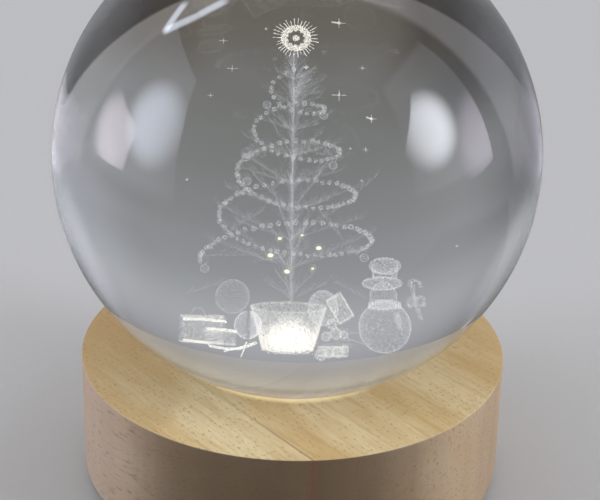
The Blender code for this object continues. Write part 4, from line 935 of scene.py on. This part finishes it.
for name, x, z, radius, strength, per_mm2 in (("high_ornament", -6.32, -15.85, 1.75, 0.45, 62),
                                              ("low_ornament", -4.6, -18.78, 1.40, 0.75, 95),
                                              ("lit_ornament", -4.6, -18.78, 1.38, 0.70, 190)):
    bm = bmesh.new()
    bead(bm, radius, (x, -0.5, z), 4)
    if name == "high_ornament":
        drawn(bm, [(-8.19, -16.47), (-7.95, -16.7), (-7.73, -17.31)])
    dark = [face for face in bm.faces if
            (name == "lit_ornament" and face.calc_center_median().x < LIT_FROM)
            or (name == "low_ornament" and abs(face.calc_center_median().x - GAP_X) < GAP_HALF)]
    bmesh.ops.delete(bm, geom=dark, context="FACES")
    if name != "lit_ornament":
        ring(bm, radius, upright(x, z, -0.5), 60)
    engrave(bm, name, strength, per_mm2=per_mm2, step=0.08, size=0.024, spread=0.03, seed=71)

# Gift boxes: wrapped boxes with ribbons, two at the left of the tub, one that leans against
# it at the right, and a low one with a bow in front of it.


def gift(bm, centre, size, turn, lean=0.0, stripes=0):
    """A wrapped box; one with stripes has lines down its pleated front."""
    stand = Matrix.Translation(centre) @ Matrix.Rotation(math.radians(lean), 4, "Y") \
        @ Matrix.Rotation(math.radians(turn), 4, "Z")
    box = bmesh.ops.create_cube(bm, size=1, matrix=stand @ Matrix.Diagonal((*size, 1)))["verts"]
    half_width, half_depth, half_height = (value / 2 for value in size)
    if not stripes:
        ends = [face for face in {face for vert in box for face in vert.link_faces}
                if abs(face.normal.x) > 0.7]
        bmesh.ops.delete(bm, geom=ends, context="FACES_ONLY")
    for index in range(stripes):
        x = half_width * (2 * index / (stripes - 1) - 1)
        stroke(bm, [stand @ Vector((x, -half_depth, z)) for z in (-half_height, half_height)])


def pillow(bm, centre, radii, around, down):
    """A ball stretched by its own radius along each axis."""
    verts = bmesh.ops.create_uvsphere(bm, u_segments=around, v_segments=down, radius=1.0)["verts"]
    bmesh.ops.scale(bm, vec=radii, verts=verts)
    bmesh.ops.translate(bm, vec=centre, verts=verts)


bm = bmesh.new()
gift(bm, (-9.2, 0.0, -19.45), (4.4, 1.6, 2.6), 3)
gift(bm, (-7.4, -0.8, -20.1), (3.2, 1.4, 1.3), -4)
for shift in (0.0, 0.07, 0.14):
    drawn(bm, [(-11.42 + shift, -18.2), (-11.5 + shift, -20.7)], -0.8)
    drawn(bm, [(-10.6, -17.9 + shift), (-10.2, -17.2 + shift), (-9.4, -17.3 + shift),
               (-9.0, -17.9)], -0.5)
gift(bm, (4.75, -0.4, -16.85), (1.65, 1.2, 2.7), 10, -31, 12)
gift(bm, (4.1, -1.2, -21.2), (3.0, 1.2, 0.9), -4)
for x, z, size in ((2.9, -21.5, 0.62), (3.7, -21.3, 0.55), (4.6, -21.2, 0.62), (5.3, -20.9, 0.45),
                   (4.4, -19.3, 0.60), (5.2, -19.4, 0.42), (4.0, -18.3, 0.55), (3.4, -19.6, 0.5)):
    bead(bm, size, (x, -1.4, z))
for points in ([(4.03, -18.92), (4.9, -18.6), (5.69, -18.75), (5.5, -19.3), (5.68, -19.92),
                (4.9, -19.8), (4.24, -20.15)],
               [(5.0, -19.2), (6.1, -19.05), (7.15, -19.2)],
               [(5.1, -19.5), (6.2, -19.9), (7.1, -20.25)],
               [(2.2, -21.8), (2.5, -21.1), (3.0, -20.8), (3.3, -21.3), (2.9, -21.8)],
               [(4.2, -21.6), (4.4, -21.0), (5.0, -20.9), (5.1, -21.4), (4.7, -21.7)],
               [(2.9, -20.35), (5.9, -20.25)], [(3.0, -20.6), (5.9, -20.55)]):
    for shift in (0.0, 0.08, 0.16):
        drawn(bm, [(x + shift, z - shift) for x, z in points], -1.8 + shift)
engrave(bm, "gift_boxes", 0.70, tint=(1.0, 1.0, 0.96), per_mm2=170, step=0.075,
        size=0.023, spread=0.09, seed=81)
bm = bmesh.new()
pillow(bm, (2.95, 1.4, -17.3), (1.5, 1.0, 1.75), 32, 16)
engrave(bm, "gift_sack", 0.62, per_mm2=150, step=0.08, size=0.025, spread=0.10,
        seed=83)
bm = bmesh.new()
for y, points in ((-1.0, [(-11.45, -18.12), (-9.25, -18.10), (-6.95, -18.24)]),
                  (-1.6, [(-9.05, -18.92), (-7.4, -18.98), (-5.86, -19.16)]),
                  (-2.2, [(-11.5, -20.25), (-8.9, -20.36), (-8.7, -20.72), (-6.8, -20.94),
                          (-5.6, -20.85), (-4.6, -20.47), (-3.8, -20.12)]),
                  (-2.3, [(-7.1, -21.28), (-6.2, -21.0), (-5.2, -20.7)]),
                  (-2.4, [(-5.35, -21.8), (-5.05, -20.9), (-4.83, -20.2)])):
    for shift in (0.0, 0.05, 0.10, 0.15, 0.20, 0.25)[:6 if y > -2.25 else 3]:
        drawn(bm, [(x + shift / 2, z - shift) for x, z in points], y)
engrave(bm, "ribbons", 1.0, tint=(1.0, 0.98, 0.90), step=0.05, size=0.038,
        spread=0.03, seed=85)

# Snowman: two stippled balls under a brimmed hat with a crown, and a scarf with a tail. Its
# body catches the light from the base all round its outline.
BODY_RADIUS, HEAD_BALL_RADIUS, SCARF_RADIUS = 2.66, 1.42, 1.62
bm = bmesh.new()
bead(bm, BODY_RADIUS, (9.30, 0, -18.82), 3)
bead(bm, HEAD_BALL_RADIUS, (9.18, 0, -15.6), 3)
engrave(bm, "snowman", 0.55, per_mm2=68, size=0.026, spread=0.03, seed=91)
bm = bmesh.new()
bmesh.ops.create_cone(bm, cap_ends=False, segments=32, radius1=1.22, radius2=1.36, depth=1.5,
                      matrix=Matrix.Translation((9.36, 0, -13.0)))
for x, z, radius, thick, count in ((9.40, -12.38, 1.66, 0.80, 32), (9.08, -14.25, 2.10, 0.55, 40),
                                   (9.25, -16.5, 1.55, 0.42, 32)):
    pillow(bm, (x, 0, z), (radius, 0.8 * radius, thick), count, 10)
engrave(bm, "snowman_hat", 0.58, per_mm2=100, size=0.026, spread=0.08, seed=92)
bm = bmesh.new()
ring(bm, BODY_RADIUS, upright(9.30, -18.82), 80)
for level in (-16.35, -16.5, -16.65, -16.8):
    ring(bm, SCARF_RADIUS, Matrix.Translation((9.3, 0, level)), 48)
for shift in (0.0, 0.08, 0.16, 0.24, 0.32, 0.40, 0.48, 0.56):
    drawn(bm, [(10.5 + shift, -16.9), (10.75 + shift, -17.8), (10.95 + 0.6 * shift, -18.7)], -1.9)
engrave(bm, "snowman_trim", 0.74, step=0.055, size=0.028, spread=0.09, seed=93)

# Candy cane: a small hooked stick with a bow on it, behind the snowman.
bm = bmesh.new()
for shift in (0.0, 0.12, 0.24, 0.36):
    for points in ([(11.6, -14.6), (11.75, -14.1), (12.2, -13.85), (12.6, -14.0), (12.85, -14.6)],
                   [(11.95, -14.2), (12.05, -15.2), (12.25, -16.4), (12.8, -18.0)],
                   [(12.3, -15.6), (11.6, -15.9), (11.5, -16.7), (12.1, -16.4), (12.4, -15.8),
                    (13.0, -15.6), (13.15, -16.4), (12.6, -16.6)]):
        drawn(bm, [(x + shift, z - shift / 2) for x, z in points], 0.5)
engrave(bm, "candy_cane", 0.72, step=0.05, size=0.028, spread=0.10, seed=95)

# Caught lights: the six light sources of the base, mirrored twice inside the ball, show as warm
# dots in the middle of it.
# Each dot is a painted reflection: a small glowing lens with a fine halo of flecks, put where the
# mirrored image forms.
DOTS = [(-1.63, -9.34, 0.19), (0.73, -8.92, 0.14), (2.5, -10.31, 0.24), (-2.56, -11.23, 0.25),
        (-0.79, -12.96, 0.25), (1.9, -12.57, 0.14)]

look, shader, place = new_look("caught_light", (0.4, 0.35, 0.2), 0.6)
mottle = noise(place, 9000.0, 2.0)
feed(shader, "Emission Color", blend(mottle, (1.0, 1.0, 0.90), (1.0, 0.97, 0.72)))
feed(shader, "Emission Strength", ramp(mottle, 0.2, 0.8, 0.85, 1.15))
look.cycles.emission_sampling = "NONE"
bm = bmesh.new()
for x, z, size in DOTS:
    bmesh.ops.create_icosphere(bm, subdivisions=3, radius=size * MM,
                               matrix=Matrix.Translation(BALL_CENTRE + Vector((x, -0.8, z)) * MM)
                               @ Matrix.Diagonal((1.15, 0.6, 0.85, 1)))
lights = piece(bm, "painted_led_reflections", look, 80)
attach(lights, "ball")
bm = bmesh.new()
for x, z, size in DOTS:
    for gap in (0.05, 0.11, 0.17, 0.23):
        ring(bm, size + gap, upright(x, z, -0.8), 20)
engrave(bm, "painted_reflection_halos", 0.62, tint=(1.0, 0.93, 0.55), step=0.10, size=0.022,
        spread=0.06, seed=97)

# Studio: a plain pale floor that curves up into a plain backdrop all round, a soft grey
# surround with a large soft light at the left and at the right, and the camera at the
# photograph's place. Angles are in degrees, round from straight back and up from level.
FLOOR_SIZE = 6.0
COVE_START, COVE_BEND, COVE_TOP = 1.6, 1.2, 5.0
SKY = [(-0.766, (0.10, 0.085, 0.07)), (-0.682, (0.10, 0.088, 0.07)),
       (-0.616, (0.12, 0.112, 0.10)), (-0.545, (0.165, 0.165, 0.158)),
       (-0.454, (0.195, 0.20, 0.193)), (-0.342, (0.225, 0.23, 0.23)),
       (-0.208, (0.27, 0.276, 0.285)), (-0.07, (0.32, 0.33, 0.345)),
       (0.052, (0.40, 0.41, 0.425)), (0.174, (0.43, 0.435, 0.46)),
       (0.31, (0.405, 0.41, 0.435)), (0.42, (0.40, 0.39, 0.385)),
       (0.51, (0.48, 0.455, 0.43)), (0.60, (0.56, 0.53, 0.47)),
       (0.70, (0.50, 0.48, 0.45)), (0.86, (1.30, 1.23, 1.12)), (1.0, (1.80, 1.70, 1.55))]
BLACK = (0.0, 0.0, 0.0)
LEFT_BOX = [(-126, -6), (-71, -6), (-71, 44)]
LEFT_EDGE = [(-80.1, 44.2), (-118.5, 39.8), (-121.8, 22.1), (-128.7, -0.6)]
RIGHT_BOX = [(81, 44), (126, 44), (126, -2), (81, -2)]
LEFT_PINK = [(-79.4, 16.1), (-99.1, 11.9), (-96.7, -4.3), (-79.3, -6.1)]
RIGHT_SIDE, RIGHT_HOT = [(81, 44), (81, -2)], [(108.7, 38.9), (126.4, 19.6)]
RIGHT_PINK = [(98, -5), (80.6, -4), (80.6, 25)]
STREAKS = [((30.7, -41.0), (29.7, -47.0)), ((30.7, -41.0), (23.9, -43.9)),
           ((23.9, -43.9), (17.6, -47.4))]
CAMERA_PLACE = Vector((0, -0.2714, 0.1765))
CAMERA_PITCH, CAMERA_YAW, CAMERA_ROLL = 26.46, 0.18, 1.37
LENS, SENSOR = 108.0, 36.0

look, shader, place = new_look("floor_paper", roughness=0.8)
pulp = noise(place, 900.0, 3.0)
feed(shader, "Base Color", blend(pulp, (0.50, 0.50, 0.50), (0.53, 0.53, 0.53)))
bm = bmesh.new()
bmesh.ops.create_grid(bm, x_segments=2, y_segments=2, size=FLOOR_SIZE / 2)
floor = piece(bm, "floor", look)
bm = bmesh.new()
cove = quarter((COVE_START, COVE_BEND), COVE_BEND, -90, 0, 24)
lathe(bm, cove + [(COVE_START + COVE_BEND, COVE_TOP)], 96, False)
backdrop = piece(bm, "backdrop", look)
backdrop.visible_shadow = False
for sheet in (floor, backdrop):
    sheet.visible_transmission = False
    sheet.visible_glossy = False
    sheet.visible_diffuse = False

world = bpy.data.worlds.new("surround")
bpy.context.scene.world = world
world.use_nodes = True
sky = world.node_tree.nodes["Background"]
view = add_node(sky, "ShaderNodeTexCoord").outputs["Generated"]
across, back, up = split(view)
height = maths("ADD", times(up, 0.5), 0.5)
shade = add_node(sky, "ShaderNodeValToRGB", {"Fac": height})
levels = shade.color_ramp
levels.interpolation = "CARDINAL"
while len(levels.elements) < len(SKY):
    levels.elements.new(0.5)
for element, (level, colour) in zip(levels.elements, SKY):
    element.position = level / 2 + 0.5
    element.color = (*colour, 1.0)
shade = shade.outputs["Color"]


def toward(azimuth, elevation):
    """Direction from an angle round (0 is straight back) and an angle above level."""
    turn, rise = math.radians(azimuth), math.radians(elevation)
    level = math.cos(rise)
    return Vector((math.sin(turn) * level, math.cos(turn) * level, math.sin(rise)))


def glow(azimuth, elevation, inner, outer):
    """Round light that fades from inner to outer degrees about its centre."""
    return ramp(along(view, toward(azimuth, elevation)), math.cos(math.radians(outer)),
                math.cos(math.radians(inner)))


def edged(light, inside, corners, soft=0.006):
    """Cut a light off along the straight edges between a row of corners."""
    for first, second in zip(corners, corners[1:]):
        side = toward(*first).cross(toward(*second)).normalized()
        if side.dot(toward(*inside)) < 0:
            side.negate()
        light = times(ramp(along(view, side), -soft, soft), light)
    return light


def streak(first, second, half_width):
    """Thin line of light between two directions."""
    side = toward(*first).cross(toward(*second)).normalized()
    middle = (toward(*first) + toward(*second)).normalized()
    line = ramp(maths("ABSOLUTE", along(view, side)), 1.6 * math.radians(half_width),
                0.4 * math.radians(half_width))
    limit = middle.dot(toward(*first))
    return times(line, ramp(along(view, middle), limit - 0.0008, limit + 0.0008))


# The rear half of the room: brighter at the right, dark at the left and low down.
folded = add_node(sky, "ShaderNodeCombineXYZ", {
    "X": maths("ABSOLUTE", across), "Y": maths("ABSOLUTE", back), "Z": up}).outputs[0]
edge = maths("ADD", along(folded, (0.06, -0.807, -0.585)), times(across, 0.03))
for light, colour, kind in (
        (times(ramp(across, 0.70, 0.92), ramp(up, -0.26, 0.0)), (0.13, 0.14, 0.17), "ADD"),
        (times(ramp(across, 0.40, 0.75), ramp(up, -0.46, -0.20)), (0.11, 0.115, 0.14), "ADD"),
        (times(ramp(across, -0.45, -0.90), ramp(up, 0.02, -0.24, 0.08, 0.70)), BLACK, "MIX"),
        (times(ramp(across, -0.12, -0.45), ramp(up, -0.36, -0.56)), (0.36, 0.35, 0.34), "MULTIPLY"),
        (glow(-57, 12, 5, 19), (0.17, 0.17, 0.18), "ADD"),
        (glow(57, 12, 5, 19), (0.17, 0.17, 0.18), "ADD"),
        (times(glow(-67, -22, 3, 10), 0.7), BLACK, "MIX"),
        (times(ramp(back, 0.66, 0.63), ramp(up, -0.16, -0.30)), (0.085, 0.085, 0.09), "ADD"),
        (times(ramp(edge, -0.010, 0.010), ramp(up, -0.30, -0.38)), (0.12, 0.11, 0.10), "MULTIPLY")):
    shade = blend(light, shade, colour, kind)
surround = shade

# The two large lights, each with a hot middle and a pink one beside it.
left_panel = edged(edged(1.0, (-100, 18), LEFT_BOX, 0.08), (-104, 16), LEFT_EDGE, 0.008)
right_panel = edged(edged(1.0, (103, 20), RIGHT_BOX, 0.03), (103, 20), RIGHT_SIDE, 0.008)
for light, colour in (
        (left_panel, (0.95, 1.0, 1.15)),
        (right_panel, (0.70, 0.74, 0.82)),
        (edged(glow(-106.7, 17.7, 4, 19), (-104, 16), LEFT_EDGE), (5.9, 6.3, 7.6)),
        (edged(glow(-87, 4, 4, 16), (-89, 5), LEFT_PINK), (4.6, 4.1, 4.7)),
        (edged(glow(112.3, 20.5, 3, 17.3), (110, 20), RIGHT_HOT), (12.2, 12.6, 13.7)),
        (edged(glow(86, 6, 4, 17), (90, 4), RIGHT_PINK), (2.5, 2.1, 2.7))):
    shade = blend(light, shade, colour, "ADD")

# A ray that goes straight through the ball (two bends, so a depth under 3.5 here) sees the
# soft surround without the two lights, which would bleach the engraving in views from the side.
rays = add_node(sky, "ShaderNodeLightPath").outputs
straight = times(rays["Is Transmission Ray"], maths("LESS_THAN", rays["Ray Depth"], 3.5))
shade = blend(straight, shade, surround)
for first, second in STREAKS:
    shade = blend(streak(first, second, 0.8), shade, (0.44, 0.47, 0.55), "ADD")
shade = blend(times(glow(180, 0, 35, 80), 0.92), shade, BLACK)
feed(sky, "Color", shade)

camera = bpy.data.cameras.new("camera")
camera.lens, camera.sensor_width = LENS, SENSOR
camera.clip_start, camera.clip_end = 0.01, 20.0
viewer = bpy.data.objects.new("camera", camera)
bpy.context.scene.collection.objects.link(viewer)
ahead = toward(CAMERA_YAW, -CAMERA_PITCH)
level_right = ahead.cross(Vector((0, 0, 1))).normalized()
level_up = level_right.cross(ahead)
roll = math.radians(CAMERA_ROLL)
right = level_right * math.cos(roll) + level_up * math.sin(roll)
upward = level_up * math.cos(roll) - level_right * math.sin(roll)
axes = Matrix((right, upward, -ahead)).transposed()
viewer.matrix_world = Matrix.Translation(CAMERA_PLACE) @ axes.to_4x4()
bpy.context.scene.camera = viewer
bpy.context.scene.view_settings.view_transform = "Standard"
